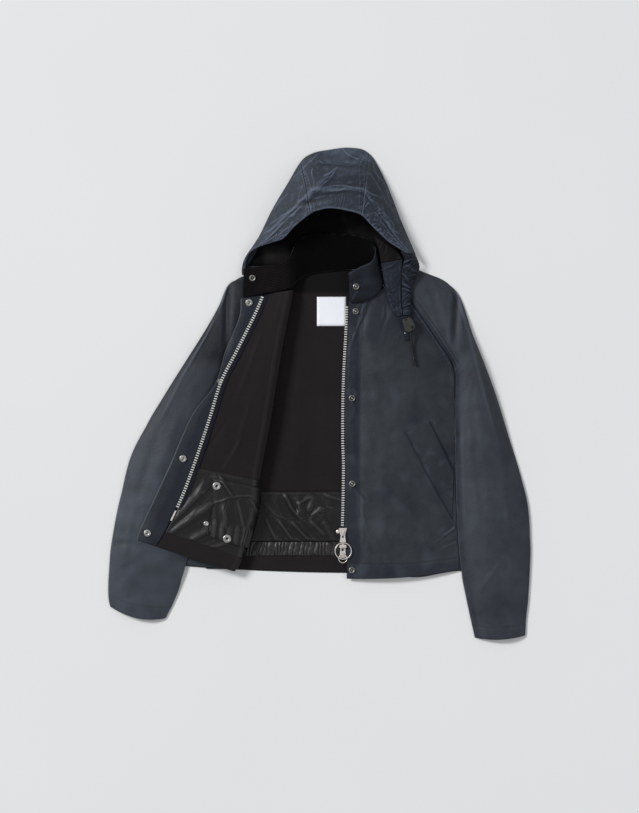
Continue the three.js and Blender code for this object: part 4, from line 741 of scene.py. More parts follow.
RIGHT_SLEEVE_BACK = table(
    "inner_y right_x right_y bow",
    (259.4, 212.1, 258.3, 0),
    (196.3, 279.3, 222.6, 0),
    (120.8, 322.4, 122.9, 0),
    (45.1, 353.9, 45.1, 0),
    (-5.2, 372.3, -5.2, 0),
    (-76.7, 394.2, -76.7, 0),
    (-202.7, 431.1, -202.7, 0),
    (-307.7, 443.5, -307.7, 0),
    (-371.7, 442.7, -370.7, 0),
    (-433.7, 438.9, -433.7, -2),
    (-475.7, 435.1, -469.4, -4),
    (-512.4, 433, -507.6, -6),
)
RIGHT_INNER_FROM = -362.2
BACK_END = -379.1


def right_sleeve_back_point(u, v):
    inner_y = spread(RIGHT_SLEEVE_BACK, "inner_y", v)
    beyond = np.maximum(right_seam(inner_y), back_right(BACK_END) + SEAM)
    inner = np.where(inner_y > RIGHT_INNER_FROM, back_right(inner_y) + 2 * SEAM, beyond)
    x = mix(inner, spread(RIGHT_SLEEVE_BACK, "right_x", v), u)
    y = mix(inner_y, spread(RIGHT_SLEEVE_BACK, "right_y", v), u) + bow_of(RIGHT_SLEEVE_BACK, u, v)
    return points(x, y, CLOTH)


ZIP_RIGHT = table(
    "y x",
    (200.6, 59.2),
    (133.3, 56.7),
    (15.8, 51),
    (-97.7, 50),
    (-148.1, 51.5),
    (-240.5, 50.4),
    (-282.4, 49.4),
    (-318.2, 52.1),
    (-349.7, 54.6),
    (-391.7, 54),
)
FRONT_EDGE = 4


def zip_right(y):
    return smooth(ZIP_RIGHT, "y", "x", y)


RIGHT_FRONT = table(
    "left_y right_y bow zip side crown",
    (194.2, 224.7, -3, 11, 12.5, 4),
    (158.6, 190.1, -2.5, 10.2, 12.5, 5.5),
    (95.5, 120.8, -1, 9.5, 11, 7),
    (41, 57.8, 0, 9.5, 7, 9),
    (-22.1, -13.7, 0, 9.5, 4, 11),
    (-122.9, -118.7, 0, 9.5, 3.4, 12),
    (-227.9, -223.7, 0, 9.5, 3.4, 12),
    (-318.2, -311.9, -2, 9, 3.4, 10),
    (-388.5, -370.7, -6, 8.4, 3.4, 7.5),
)
RIGHT_FRONT_FOLDS = table(
    "x0 y0 x1 y1 width height",
    (86.1, 133.3, 81.9, -160.7, 11, -1.8),
    (102.9, 192.2, 69.3, 101.9, 10, -1.6),
    (245.7, -309.8, 285.6, -280.4, 8, -1.4),
    (88.2, -223.7, 98.7, -349.7, 9, 1.4),
)


def right_front_point(u, v):
    left_y, right_y = spread(RIGHT_FRONT, "left_y", v), spread(RIGHT_FRONT, "right_y", v)
    x = mix(zip_right(left_y) + FRONT_EDGE, right_seam(right_y) - SEAM, u)
    y = mix(left_y, right_y, u) + bow_of(RIGHT_FRONT, u, v)
    base = mix(spread(RIGHT_FRONT, "zip", v), spread(RIGHT_FRONT, "side", v), ease(u))
    crown = spread(RIGHT_FRONT, "crown", v) * np.sin(math.pi * u)
    return points(x, y, base + crown + fold_sum(RIGHT_FRONT_FOLDS, x, y) * edge_fade(u))


FRONT_TOP, FRONT_BOTTOM = 194.2, -388.5


def right_front_at(x, y):
    """Level of the right front at a place in plan."""
    u, v = 0.5 + 0 * x, 0.5 + 0 * x
    for _ in range(12):
        p = right_front_point(u, v)
        width = right_front_point(1 + 0 * u, v)[..., 0] - right_front_point(0 * u, v)[..., 0]
        u = clamp(u + (x - p[..., 0]) / width)
        v = clamp(v - (y - p[..., 1]) / (FRONT_TOP - FRONT_BOTTOM))
    return right_front_point(u, v)[..., 2]


WELT = table(
    "left_x left_y right_x right_y bow",
    (181.7, -82.5, 232.7, -59.4, 0),
    (214.2, -143.8, 251, -95.5, 0),
    (247.8, -206.9, 267.8, -131.2, 0),
    (279.7, -263.6, 282.7, -160.7, 0),
)
WELT_LIFT = GAP + 1


def welt_height(x, y, u, v):
    return right_front_at(x, y) + WELT_LIFT


OPENED = table(
    "flap_x flap_y zip_x zip_y roll_x roll_y base_y top",
    (-163.8, 198.5, -115.5, 207.7, -53.6, 216.1, 190.1, 29),
    (-165.9, 164.8, -131.9, 169.1, -63, 168, 154.3, 32),
    (-180, 127.1, -152, 128.1, -72.5, 120.8, 116.6, 34),
    (-195.3, 91.4, -174.7, 83, -81.9, 66.2, 70.4, 35),
    (-216.7, 22.1, -204.1, 25.2, -91.8, 5.2, 15.8, 35),
    (-261.4, -37.8, -226.8, -47.2, -102.9, -64, -47.2, 35),
    (-284.6, -85, -242.6, -95.5, -113.4, -118.7, -110.2, 34),
    (-308.1, -140.1, -262.5, -153.3, -125, -181.7, -177.5, 32),
    (-338.1, -204.8, -286.7, -217.4, -133.3, -251, -248.9, 30),
    (-376.3, -286.7, -321.3, -290.9, -160.7, -345.4, -324.4, 27),
    (-381.6, -305.6, -339.2, -320.2, -176.4, -372.8, -360.2, 25.5),
)
OPENED_ROW = 1 / 10
SLEEVE_TOP, SLEEVE_BOTTOM = 265.7, -471.5


def opened_rest(x, y):
    """Level of what the folded front lies on: the left sleeve up to its crest, then level."""
    u, v = 0.5 + 0 * x, 0.5 + 0 * x
    for _ in range(12):
        left_x, right_x = spread(LEFT_SLEEVE, "left_x", v), spread(LEFT_SLEEVE, "right_x", v)
        u = clamp((x - left_x) / (right_x - left_x))
        line = mix(spread(LEFT_SLEEVE, "left_y", v), spread(LEFT_SLEEVE, "right_y", v), u)
        v = clamp(v - (y - line - bow_of(LEFT_SLEEVE, u, v)) / (SLEEVE_TOP - SLEEVE_BOTTOM))
    return left_sleeve_height(x, y, np.minimum(u, 0.5), v)


def opened_point(a, v):
    """a is -1 at the flap's edge, 0 at the zip, 1 at the fold's top, 2 under it and 3 at the seam."""
    a, v = np.broadcast_arrays(np.asarray(a, float), np.asarray(v, float))
    zip_at = np.stack([spread(OPENED, "zip_x", v), spread(OPENED, "zip_y", v)], axis=-1)
    roll = np.stack([spread(OPENED, "roll_x", v), spread(OPENED, "roll_y", v)], axis=-1)
    flap = np.stack([spread(OPENED, "flap_x", v), spread(OPENED, "flap_y", v)], axis=-1)
    top = spread(OPENED, "top", v)
    radius = (top - FOLD_BASE) / 2
    direction = unit(roll - zip_at)
    turn = roll - direction * radius[..., None]
    plan = np.where((a <= 0)[..., None], mix(zip_at, flap, -a[..., None]), mix(zip_at, turn, a[..., None]))
    rest = opened_rest(plan[..., 0], plan[..., 1]) + STACK
    z = np.where(a <= 0, rest, mix(rest, top, ease(a)))
    angle = math.pi * (clamp(a - 1))
    around = turn + direction * (radius * np.sin(angle))[..., None]
    plan = np.where((a > 1)[..., None], around, plan)
    z = np.where(a > 1, FOLD_BASE + radius + radius * np.cos(angle), z)
    base_y = spread(OPENED, "base_y", v)
    base = np.stack([back_left(base_y) + 4, base_y], axis=-1)
    plan = np.where((a > 2)[..., None], mix(turn, base, (a - 2)[..., None]), plan)
    z = np.where(a > 2, FOLD_BASE, z)
    return points(plan[..., 0], plan[..., 1], z)


def opened_stretch(start, end, v0=0.0, v1=1.0):
    return lambda u, v: opened_point(mix(start, end, u), mix(v0, v1, v))


OPENED_TOP, OPENED_BOTTOM = 211.1, -349.7


def opened_from(x, y):
    """The folded front's lining at a place in plan."""
    a, v = np.array(0.5), np.array(0.5)
    for _ in range(14):
        p = opened_point(a, v)
        width = opened_point(1.0, v)[..., 0] - opened_point(0.0, v)[..., 0]
        a = clamp(a + (x - p[..., 0]) / width)
        v = clamp(v - (y - p[..., 1]) / (OPENED_TOP - OPENED_BOTTOM))
    return opened_point(a, v)


SKIRT = table(
    "a v",
    (0.36, 7.22 * OPENED_ROW),
    (0.43, 7.7 * OPENED_ROW),
    (0.5, 8.2 * OPENED_ROW),
    (0.58, 8.72 * OPENED_ROW),
)
SKIRT_END = 1.5
SKIRT_PLEATS, SKIRT_PLEATS_FROM, SKIRT_PLEAT_HEIGHT = 9, 0.72, 1.5


def skirt_point(u, v):
    a = mix(spread(SKIRT, "a", v), SKIRT_END, u)
    row = spread(SKIRT, "v", v)
    p = opened_point(a, row)
    along = unit(opened_point(np.minimum(a + 0.01, 2), row) - p)
    out = unit(points(-along[..., 2], 0, along[..., 0]))
    gathered = ease((v - SKIRT_PLEATS_FROM) / 0.1)
    wave = (1 - np.cos(2 * math.pi * SKIRT_PLEATS * u)) / 2
    return p + out * (1.8 + 2 * ease(u / 0.2) + SKIRT_PLEAT_HEIGHT * gathered * wave)[..., None]


LINING_BACK = table(
    "left_x left_y right_x right_y bow",
    (-44.1, 257.2, 98.7, 257.2, 0),
    (-98.7, 154.3, 98.7, 154.3, 0),
    (-128.1, -13.7, 90.3, -13.7, 0),
    (-157.5, -204.8, 86.1, -204.8, 0),
)
CRUMPLES = table(
    "x0 y0 x1 y1 width height",
    (-119.7, -223.7, -73.5, -274.1, 9, 3.5),
    (-92.4, -288.8, -33.6, -267.8, 8, 3),
    (-48.3, -217.4, -29.4, -255.2, 9, 3.5),
    (-18.9, -280.4, 6.3, -248.9, 8, 2.6),
    (14.7, -221.6, 33.6, -248.9, 8, 2),
    (-60.9, -299.2, -6.3, -288.8, 7, -1.2),
)
SHOWN_RIGHT = 77.7
EDGE_OF_FRONT = 46.2
NYLON_TOP, NYLON_BOTTOM = -205.4, -310.2
BAND_TOP, BAND_BOTTOM = -311, -340.4
BAND_PLEATS, BAND_HEIGHT = 19, 2.6


def roll_edge(y):
    return smooth(OPENED, "roll_y", "roll_x", y)


def under_zip(x):
    """Folds of the back lining flatten under the right front's edge."""
    return 0.3 + 0.7 * ease((EDGE_OF_FRONT - x) / 30)


def nylon_point(u, v):
    y = mix(NYLON_TOP, NYLON_BOTTOM, v)
    x = mix(roll_edge(y) + 3, SHOWN_RIGHT, u)
    edges = ease(v / 0.15) * ease((1 - v) / 0.15) * ease(u / 0.1) * under_zip(x)
    return points(x, y, BACK_LINING_TOP + 0.4 + (1.2 + fold_sum(CRUMPLES, x, y)) * edges)


FACING = table(
    "left_x left_y right_x right_y bow",
    (-237.3, -341.9, 90.3, -341.9, 0),
    (-237.3, -367.7, 90.3, -376.1, 0),
)
LABEL_LEFT, LABEL_TOP, LABEL_SIZE, LABEL_THICKNESS = -4.2, 202.7, 61, 0.6


def label_point(u, v):
    curl = 1.2 * u * (1 - v) ** 3
    z = BACK_LINING_TOP + GAP + LABEL_THICKNESS + curl
    return points(LABEL_LEFT + LABEL_SIZE * u, LABEL_TOP - LABEL_SIZE * v, z)


COLLAR = table(
    "seam_x seam_y seam_z top_x top_y top_z",
    (-159.6, 201.8, 19, -157.5, 261.4, 17),
    (-119.7, 209.8, 21.5, -123.9, 266.7, 19),
    (-81.9, 215.2, 25, -81.9, 271.9, 22),
    (-58.8, 221.6, 24, -59.9, 288.8, 21),
    (-44.1, 236.2, 16, -48.3, 313.9, 17),
    (-25.2, 248.9, 8.2, -27.3, 330.8, 13),
    (12.6, 255.2, 6.5, 12.6, 334.9, 11),
    (56.7, 259.4, 6.5, 58.8, 332.9, 11),
    (96.6, 259.4, 9, 92.4, 326.6, 11.5),
    (128.1, 244.7, 12.5, 114.5, 307.7, 14),
    (121.8, 219.5, 17.5, 111.3, 278.2, 19),
    (92.4, 202.7, 16.5, 86.1, 264.6, 18),
    (65.1, 199.5, 12.5, 62, 252, 14),
)


def collar_point(u, v):
    seam = points(*(spread(COLLAR, name, u) for name in ("seam_x", "seam_y", "seam_z")))
    top = points(*(spread(COLLAR, name, u) for name in ("top_x", "top_y", "top_z")))
    return mix(seam, top, v[..., None])


HOOD = table(
    "u brim_x brim_y brim_z back_x back_y",
    (0, -154.1, 248.6, 12, -161.9, 248.4),
    (0.04, -153.1, 275.5, 12, -161.7, 264.6),
    (0.1, -141.3, 298.4, 17, -153.7, 287.7),
    (0.19, -102.5, 313.9, 30, -126, 329.7),
    (0.28, -75, 323, 42, -98.7, 385.4),
    (0.38, -50, 348.4, 52, -65.1, 442.1),
    (0.5, -14.5, 375.3, 62, -35.1, 490.4),
    (0.56, 3.2, 381.4, 65, -11.3, 505.1),
    (0.62, 22.9, 384.5, 66, 16.8, 510.9),
    (0.71, 56.1, 379.9, 66, 65.1, 516),
    (0.79, 88.4, 370.2, 62, 105, 504),
    (0.86, 112.4, 346.3, 55, 137.6, 450.5),
    (0.93, 146, 315.4, 46, 170.1, 368.6),
    (1, 182.7, 292.9, 36, 202.7, 292.9),
)
HOOD_EDGE = 2.8
HOOD_SEAMS = (0, 0.49, 0.79, 1)
HOOD_FOLDS = table(
    "x0 y0 x1 y1 width height",
    (-119.7, 320.2, 18.9, 452.6, 9, 5),
    (6.3, 478.8, 81.9, 473.6, 7, -3),
    (-14.7, 425.2, 86.1, 423.2, 7, 3),
    (-39.9, 393.8, 33.6, 411.6, 7, -2.5),
    (98.7, 423.2, 165.9, 322.4, 8, 3.5),
)


def hood_point(u, v, creased=1):
    x = mix(smooth(HOOD, "u", "brim_x", u), smooth(HOOD, "u", "back_x", u), v)
    y = mix(smooth(HOOD, "u", "brim_y", u), smooth(HOOD, "u", "back_y", u), v)
    fade = ease((1 - v) / 0.2) * ease(u / 0.15) * ease((1 - u) / 0.1)
    rise = (smooth(HOOD, "u", "brim_z", u) - HOOD_EDGE) * (1 - v**2.3)
    return points(x, y, HOOD_EDGE + rise + creased * fold_sum(HOOD_FOLDS, x, y) * fade)


def back_spacing(v):
    return 1 - (1 - v) ** 1.5


def hood_stretch(start, end):
    return lambda u, v: hood_point(mix(start, end, u), back_spacing(v))


LINING_DROOP = 8
LINING_SHARE = 0.4


def crown_lining_point(t, v):
    stretch = np.minimum((t * 3).astype(int), 2)
    start = np.array([HOOD_SEAMS[1] / 3, HOOD_SEAMS[1], HOOD_SEAMS[2]])[stretch]
    end = np.array([HOOD_SEAMS[1], HOOD_SEAMS[2], 0.985])[stretch]
    row = 0.86 * back_spacing(v)
    p = hood_point(mix(start, end, t * 3 - stretch), row, 0)
    p[..., 2] -= np.minimum(LINING_DROOP, LINING_SHARE * (p[..., 2] - HOOD_EDGE)) * ease(row / 0.35)
    return p


HOOD_BACK = table(
    "left_x left_y right_x right_y bow",
    (35.7, 513, 86.1, 513, 2),
    (-16.8, 500.9, 105, 500.9, 0),
    (-45.1, 475.7, 121.4, 475.7, 0),
    (-63, 444.2, 139.7, 444.2, 0),
    (-88.2, 402.2, 157.5, 402.2, 0),
    (-107.1, 368.6, 170.1, 368.6, 0),
    (-127.1, 326.6, 188, 326.6, 0),
    (-149.1, 292.9, 201.6, 292.9, 0),
    (-157.5, 271.9, 207.9, 271.9, 0),
    (-160, 260.6, 201.6, 260.2, 0),
)
HOOD_FLOOR = table(
    "left_x left_y right_x right_y bow",
    (-29.4, 458.9, 98.7, 458.9, 0),
    (-69.3, 402.2, 136.5, 402.2, 0),
    (-107.1, 339.2, 159.6, 339.2, 0),
    (-149.1, 267.8, 178.5, 271.9, 0),
)
INSIDE_RIGHT = table(
    "left_x left_y right_x right_y bow left right",
    (116.6, 328.7, 144.9, 309.8, 0, 19, 26),
    (125, 301.4, 163.8, 295.1, 0, 22, 30),
    (130.2, 272.8, 174.3, 281.2, 0, 26, 31),
)
HOOD_FACING = table(
    "left_x left_y right_x right_y bow left right",
    (130.2, 271.9, 174.3, 280.4, 0, 26, 31),
    (136.5, 232.1, 172.2, 236.2, 0, 26, 28.5),
    (146, 188, 172.2, 196.3, 0, 22.5, 24.5),
    (160.7, 159.6, 175.1, 162.8, 0, 20, 21.5),
)
CHANNEL = table(
    "left_x left_y right_x right_y bow left right arch",
    (182.5, 292.3, 202.4, 292.3, 0, 35, 5.5, 7),
    (174.1, 261.4, 210.8, 262.5, 0, 30.2, 13, 6),
    (173.2, 223.7, 194.9, 223.7, 0, 27.4, 21, 3),
    (173.5, 192.2, 192.8, 192.2, 0, 24.2, 21, 2),
    (176, 162.8, 192.4, 163.8, 0, 21.6, 21, 2),
)
CHANNEL_GATHERS, GATHER_HEIGHT = 9, 1.2
TAB = table(
    "left_x left_y right_x right_y bow left right",
    (161.7, 159.1, 191.9, 163.4, 0.6, 19.9, 20.8),
    (173.2, 133.3, 190.7, 135.5, 0, 18.8, 19),
    (181.7, 110.2, 188.2, 111.1, 0, 18.3, 18.5),
)


def slanted(rows, arch):
    def height(x, y, u, v):
        return mix(spread(rows, "left", v), spread(rows, "right", v), u) + arch * np.sin(math.pi * u)
    return section_point(rows, height)


def channel_height(x, y, u, v):
    slope = mix(spread(CHANNEL, "left", v), spread(CHANNEL, "right", v), u)
    uneven = CHANNEL_GATHERS * v + 0.9 * noise(x, y, 24.0, 15.1)
    gathers = GATHER_HEIGHT * np.sin(2 * math.pi * uneven) * clamp(0.4 + noise(x, y, 18.0, 17.1))
    arch = spread(CHANNEL, "arch", v) * np.sin(math.pi * u)
    return slope + arch + gathers * ease((1 - v) / 0.2) * ease(v / 0.08)


# Turned pieces
def lathe(name, profile, place, material, body="root", axis=(0, 0, 1), nodes=(), turns=40):
    """A turned piece; profile holds (across, up) from the axis at its foot to the axis at its top."""
    profile = np.array(profile, float)
    up = unit(np.array(axis, float))
    side = unit(np.cross(up, (1, 0, 0) if abs(up[0]) < 0.7 else (0, 1, 0)))
    other = np.cross(up, side)
    angle = np.arange(turns) * 2 * math.pi / turns
    around = np.cos(angle)[:, None] * side + np.sin(angle)[:, None] * other
    rings = profile[1:-1, 0][:, None, None] * around + profile[1:-1, 1][:, None, None] * up
    verts = np.concatenate([
        [up * profile[0, 1]], rings.reshape(-1, 3), [up * profile[-1, 1]],
    ]) + np.array(place)
    k = np.arange(turns)
    onward = (k + 1) % turns
    last = 1 + (len(profile) - 3) * turns
    quads = [
        np.stack([
            1 + j * turns + k, 1 + j * turns + onward,
            1 + (j + 1) * turns + onward, 1 + (j + 1) * turns + k,
        ], 1)
        for j in range(len(profile) - 3)
    ]
    foot = np.stack([0 * k, 1 + onward, 1 + k], 1)
    head = np.stack([0 * k + len(verts) - 1, last + k, last + onward], 1)
    made = mesh_object(name, verts, [*quads, foot, head], material=material)
    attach(made, body)
    if nodes:
        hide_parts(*nodes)
    return made


def snap_place(node):
    low, high = (np.array(corner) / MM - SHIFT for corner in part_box(node))
    middle = (low + high) / 2
    return (middle[0], middle[1], low[2]), (high[0] - low[0]) / 2, high[2] - low[2]


# Cords: the hood's drawcord with its free end, and the thin cord of the skirt
def rope(name, centreline, diameter, material, node):
    """A free cord along a line of points in millimetres, with its node hidden."""
    places = metres(centreline)
    data = bpy.data.curves.new(name, "CURVE")
    data.dimensions = "3D"
    spline = data.splines.new("POLY")
    spline.points.add(len(places) - 1)
    for point, place in zip(spline.points, places):
        point.co = (*place, 1.0)
    data.bevel_depth = diameter * MM / 2
    data.bevel_resolution = 6
    data.use_fill_caps = True
    data.materials.append(material)
    made = bpy.data.objects.new(name, data)
    bpy.context.scene.collection.objects.link(made)
    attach(made, "root")
    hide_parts(node)
    return made


def through(rows, count):
    """A smooth line through the rows of a table with x, y and z."""
    place = np.stack([rows[name] for name in "xyz"], axis=1)
    run = np.concatenate([[0], np.cumsum(np.linalg.norm(np.diff(place, axis=0), axis=1))])
    along = {"s": run, **rows}
    at = np.linspace(0, run[-1], count)
    return points(*(smooth(along, "s", name, at) for name in "xyz"))


CORD_DIAMETER, SKIRT_CORD_DIAMETER = 4.4, 2.2
CORD_ROUTE = table(
    "x y z",
    (192.6, 128.1, 25.8),
    (192.2, 120.8, 25),
    (193, 112.4, 23.2),
    (193.8, 104, 21.6),
    (195.1, 94.5, 20.7),
    (196.6, 85, 20.3),
    (198.2, 75.8, 20.3),
)
cord_line = through(CORD_ROUTE, 24)
cord_way = unit(cord_line[-1] - cord_line[-2])
TIP = [(0, 0), (2.1, 0), (2.35, 0.5), (2.4, 3), (2.5, 9), (2.75, 16), (2.5, 16.8), (1.6, 17), (0, 17)]
cord_end = lathe(
    "drawcord_end", TIP, cord_line[-1] + cord_way * GAP, GLOSS_PLASTIC, axis=cord_way,
    nodes=["cord_tip"],
)
rope("hood_drawcord", cord_line, CORD_DIAMETER, CORD, "drawcord")
SKIRT_CORD = table(
    "x y",
    (-220.5, -231),
    (-225.1, -236.2),
    (-228.1, -243.6),
    (-230.2, -253.1),
    (-232.3, -262.5),
)
SKIRT_CORD_LIFT = 2.6  # of the thin cord over the opened front's lining
SKIRT_CORD["z"] = np.array([
    float(opened_from(x, y)[2]) + SKIRT_CORD_DIAMETER / 2 + SKIRT_CORD_LIFT
    for x, y in zip(SKIRT_CORD["x"], SKIRT_CORD["y"])
])
RIVET = [
    (0, 0), (0.95, 0), (1, 0.3), (0.96, 0.7), (0.8, 0.95), (0.62, 1), (0.5, 0.86), (0.3, 0.82), (0, 0.86),
]
rivet_at, rivet_radius, rivet_height = snap_place("skirt_stopper")
skirt_end = lathe(
    "skirt_cord_rivet", [(across * rivet_radius, up * rivet_height) for across, up in RIVET], rivet_at,
    BRIGHT_SNAP,
    nodes=["skirt_stopper"],
)
rope("skirt_thin_cord", through(SKIRT_CORD, 16), SKIRT_CORD_DIAMETER, CORD, "skirt_cord")


# Floor of the picture
FLOOR_SIZE = 12000.0
FLOOR_DROP = 0.3


def floor_material():
    made, tree, shader = start_material("pale_floor", 0.9, Specular_IOR_Level=0.1)
    place = add_node(tree, "ShaderNodeTexCoord").outputs["Object"]
    tone = noise_node(tree, place, 2.0, 2.0)
    base = blend_colours(tree, tone, linear(232, 232, 232), linear(236, 236, 236))
    tree.links.new(base, shader.inputs["Base Color"])
    return made


half = FLOOR_SIZE / 2
floor = mesh_object(
    "floor",
    [
        (-half, -half, -FLOOR_DROP), (half, -half, -FLOOR_DROP),
        (half, half, -FLOOR_DROP), (-half, half, -FLOOR_DROP),
    ],
    np.array([[0, 1, 2, 3]]),
    material=floor_material(),
)


# Cloth panels: the outer side first
def polyline_distance(x, y, path):
    """Distance to a line in plan, and how far along it the nearest point lies."""
    best = np.full(np.broadcast(x, y).shape, 1e9)
    along = np.zeros(best.shape)
    run = 0.0
    for (x0, y0), (x1, y1) in zip(path, path[1:]):
        length = math.hypot(x1 - x0, y1 - y0)
        t = clamp(((x - x0) * (x1 - x0) + (y - y0) * (y1 - y0)) / length**2)
        away = np.hypot(x - mix(x0, x1, t), y - mix(y0, y1, t))
        along = np.where(away < best, run + t * length, along)
        best = np.minimum(best, away)
        run += length
    return best, along


def groove(x, y, path, width=1.8, depth=0.5):
    away, _ = polyline_distance(x, y, path)
    return -depth * np.exp(-((away / width) ** 2))


def aside(path, distance):
    """The same line moved to its left by a distance."""
    path = np.array(path, float)
    run = unit(np.gradient(path, axis=0))
    return [tuple(p) for p in path + distance * np.stack([-run[:, 1], run[:, 0]], axis=1)]


def creases(paths, x, y, width=1.7, height=1.0):
    """Sharp-topped ridges (or cuts, where height is below 0) along lines in plan, thinner at their ends."""
    total = np.zeros(np.broadcast(x, y).shape)
    bent_x, bent_y = x + 4 * noise(x, y, 22.0, 81.0), y + 4 * noise(x, y, 22.0, 87.0)
    for k, path in enumerate(paths):
        away, along = polyline_distance(bent_x, bent_y, path)
        run = sum(math.dist(a, b) for a, b in zip(path, path[1:]))
        ends = ease(along / (0.2 * run)) * ease((run - along) / (0.2 * run))
        strength = clamp(0.75 + 0.5 * noise(x, y, 16.0, 3.0 * k)) * ends
        total = np.maximum(total, np.exp(-np.sqrt(away**2 + 0.2) / width) * strength)
    return height * total


def dimples(x, y, places, reach=20.0, depth=0.35, rays=5):
    """Small creases that run out from each snap."""
    total = 0.0
    for k, (px, py) in enumerate(places):
        r = np.hypot(x - px, y - py)
        angle = np.arctan2(y - py, x - px)
        total = total + depth * np.cos(rays * angle + 1.7 * k) * np.exp(-((r / reach) ** 2)) * ease(r / 9.0)
    return total


FRONT_SNAPS = [(77.3, 172.2), (69.3, -10.1), (69.7, -189), (68.9, -370.2)]
FLAP_SNAPS = [(-146.4, 190.1), (-284.1, -136.3), (-358.7, -291.9)]
RAGLAN = [(136.5, 230), (192.2, 190.1), (217.4, 155.4), (241.5, 120.8), (261.4, 89.2), (280.4, 57.8)]
RAGLAN_OUTER = aside(RAGLAN, 12.0)
FRONT_HEM = [(58.8, -355.1), (117.6, -356.8), (191.1, -354.9), (254.1, -349.2), (291.9, -342.9)]
FLY = [(94.5, 177.5), (89.2, 91.4), (86.1, -13.7), (85, -139.7), (85, -265.7), (87.2, -353.9)]
POCKET_MOUTH = [(181.2, -83), (214.2, -143.8), (247.8, -206.9), (281.4, -265.7)]
POCKET_OUTER = [(233.9, -58.8), (252, -94.5), (268.8, -129.2), (286.7, -160.7)]
FRONT_LINES = [
    [(102.9, 183.8), (90.3, 158.6), (77.7, 133.3), (67.2, 108.2)],
    [(71.4, -190.1), (86.1, -183.8), (98.7, -175.3)],
    [(75.6, -234.2), (88.2, -286.7), (81.9, -341.2)],
    [(245.7, -305.6), (266.7, -292.9), (287.7, -276.2)],
    [(195.3, -78.8), (210, -118.7), (233.1, -162.8), (258.3, -219.5), (275.1, -253.1)],
    [(96.6, -265.7), (107.1, -307.7), (105, -345.4)],
]
FRONT_CUTS = [
    [(111.3, 196.3), (100.8, 167), (84, 141.8), (71.4, 125)],
    [(144.9, 192.2), (136.5, 158.6), (128.1, 116.6)],
    [(168, 125), (178.5, 110.2), (189, 101.9)],
    [(245.7, -309.8), (266.7, -299.2), (287.7, -282.4)],
    [(90.3, -223.7), (100.8, -265.7), (94.5, -324.4)],
]
RIGHT_FRONT_CREASES = table(
    "x0 y0 x1 y1 width height",
    (98.7, 196.3, 67.2, 101.9, 5, 1.0),
    (75.6, -194.2, 98.7, -223.7, 4, -0.9),
    (73.5, -17.9, 90.3, -47.2, 4, -0.6),
    (245.7, -309.8, 285.6, -280.4, 3.5, 1.3),
    (256.2, -324.4, 291.9, -309.8, 3.5, 0.7),
    (107.1, 133.3, 119.7, -55.7, 12, 1.1),
    (165.9, 70.4, 178.5, -76.7, 14, -1.0),
    (134.4, -97.7, 128.1, -318.2, 13, 1.2),
    (195.3, -160.7, 207.9, -328.7, 12, -0.9),
    (220.5, 28.4, 254.1, -97.7, 12, 0.9),
)


def right_front_relief(x, y, u, v):
    height = 0.9 * crumple(x, y, 62.0, 78, 2.4, 2.0) + fold_sum(RIGHT_FRONT_CREASES, x, y)
    height = height + dimples(x, y, FRONT_SNAPS, 16.0, 0.12)
    away, along = polyline_distance(x, y, RAGLAN)
    height = height + 0.45 * pucker(away, along) + 0.12 * pucker(u * 230, y, 11.0, 6.0)
    height = height + creases(FRONT_LINES, x, y, 2.2, 0.5) + creases(FRONT_CUTS, x, y, 3.2, -1.2)
    stitched = 0.5 * groove(x, y, FRONT_HEM) + groove(x, y, FLY, 2.2, 0.2) + groove(x, y, RAGLAN, 2.0, 0.5)
    stitched = stitched + groove(x, y, POCKET_MOUTH, 2.0, 0.8) + groove(x, y, POCKET_OUTER, 1.8, 0.4)
    return height * inside(u, v, 0.03, 0.02) + stitched


def near(x, y, path, reach):
    """1 on a line in plan, falling to 0 at "reach" from it."""
    return 1 - ease(polyline_distance(x, y, path)[0] / reach)


def right_front_tint(x, y, u, v):
    # Darker at the fly, the hem, the upper front, near the collar and in random blotches; along the raglan
    # seam and the pocket the darker navy is partly the cloth's own and partly painted shade in the seam's
    # valley and the pocket's opening.
    fly = ease((88.2 - x) / 6) * 0.75
    hem = ease((-351.8 - y) / 8) * 0.6 + 0.5 * ease((y - 91.4) / 50)
    seams = (
        0.45 * near(x, y, RAGLAN, 26) + 0.5 * near(x, y, POCKET_MOUTH, 8)
        + 0.35 * near(x, y, POCKET_OUTER, 6)
    )
    neck = 0.8 * ease((y - 158.6) / 40) * ease((153.3 - x) / 40)
    inner_pocket = 0.55 * ease((x - 228.9) / 30) * ease((y - -234.2) / 40) * ease((-93.5 - y) / 40)
    blotches = 0.55 * clamp(noise(x, y, 55.0, 3.3)) + 0.35 * clamp(noise(x, y, 17.0, 5.3)) + inner_pocket
    return np.maximum(fly, np.maximum(hem, neck)) + seams + blotches


FRONT_GRID = (106, 252)
dress(
    "front_right_panel", right_front_point, *FRONT_GRID, CLOTH, WAXED, "waxed_cotton",
    rests=["back_panel"], spacing=round_ends, relief=right_front_relief, tint=right_front_tint, wear=5.0,
    lines=lambda x, y, u, v: 0.3 * clamp(noise(x, y, 34.0, 19.3)) + 0.12 * ease((-351.8 - y) / 8),
)
dress(
    "pocket_welt", section_point(WELT, welt_height), 20, 80, 0.9, WAXED, "waxed_cotton",
    rests=["front_right_panel"],
    relief=lambda x, y, u, v: 0.35 * crumple(x, y, 22.0, 60, 2.0, 5.0) + right_front_relief(x, y, u, v) * 0.3,
    tint=lambda x, y, u, v: 0.5 * (1 - edge_fade(u, 0.2)) + right_front_tint(x, y, u, v) * 0.6,
    lines=lambda x, y, u, v: 0.35 * clamp(noise(x, y, 22.0, 23.3)),
)

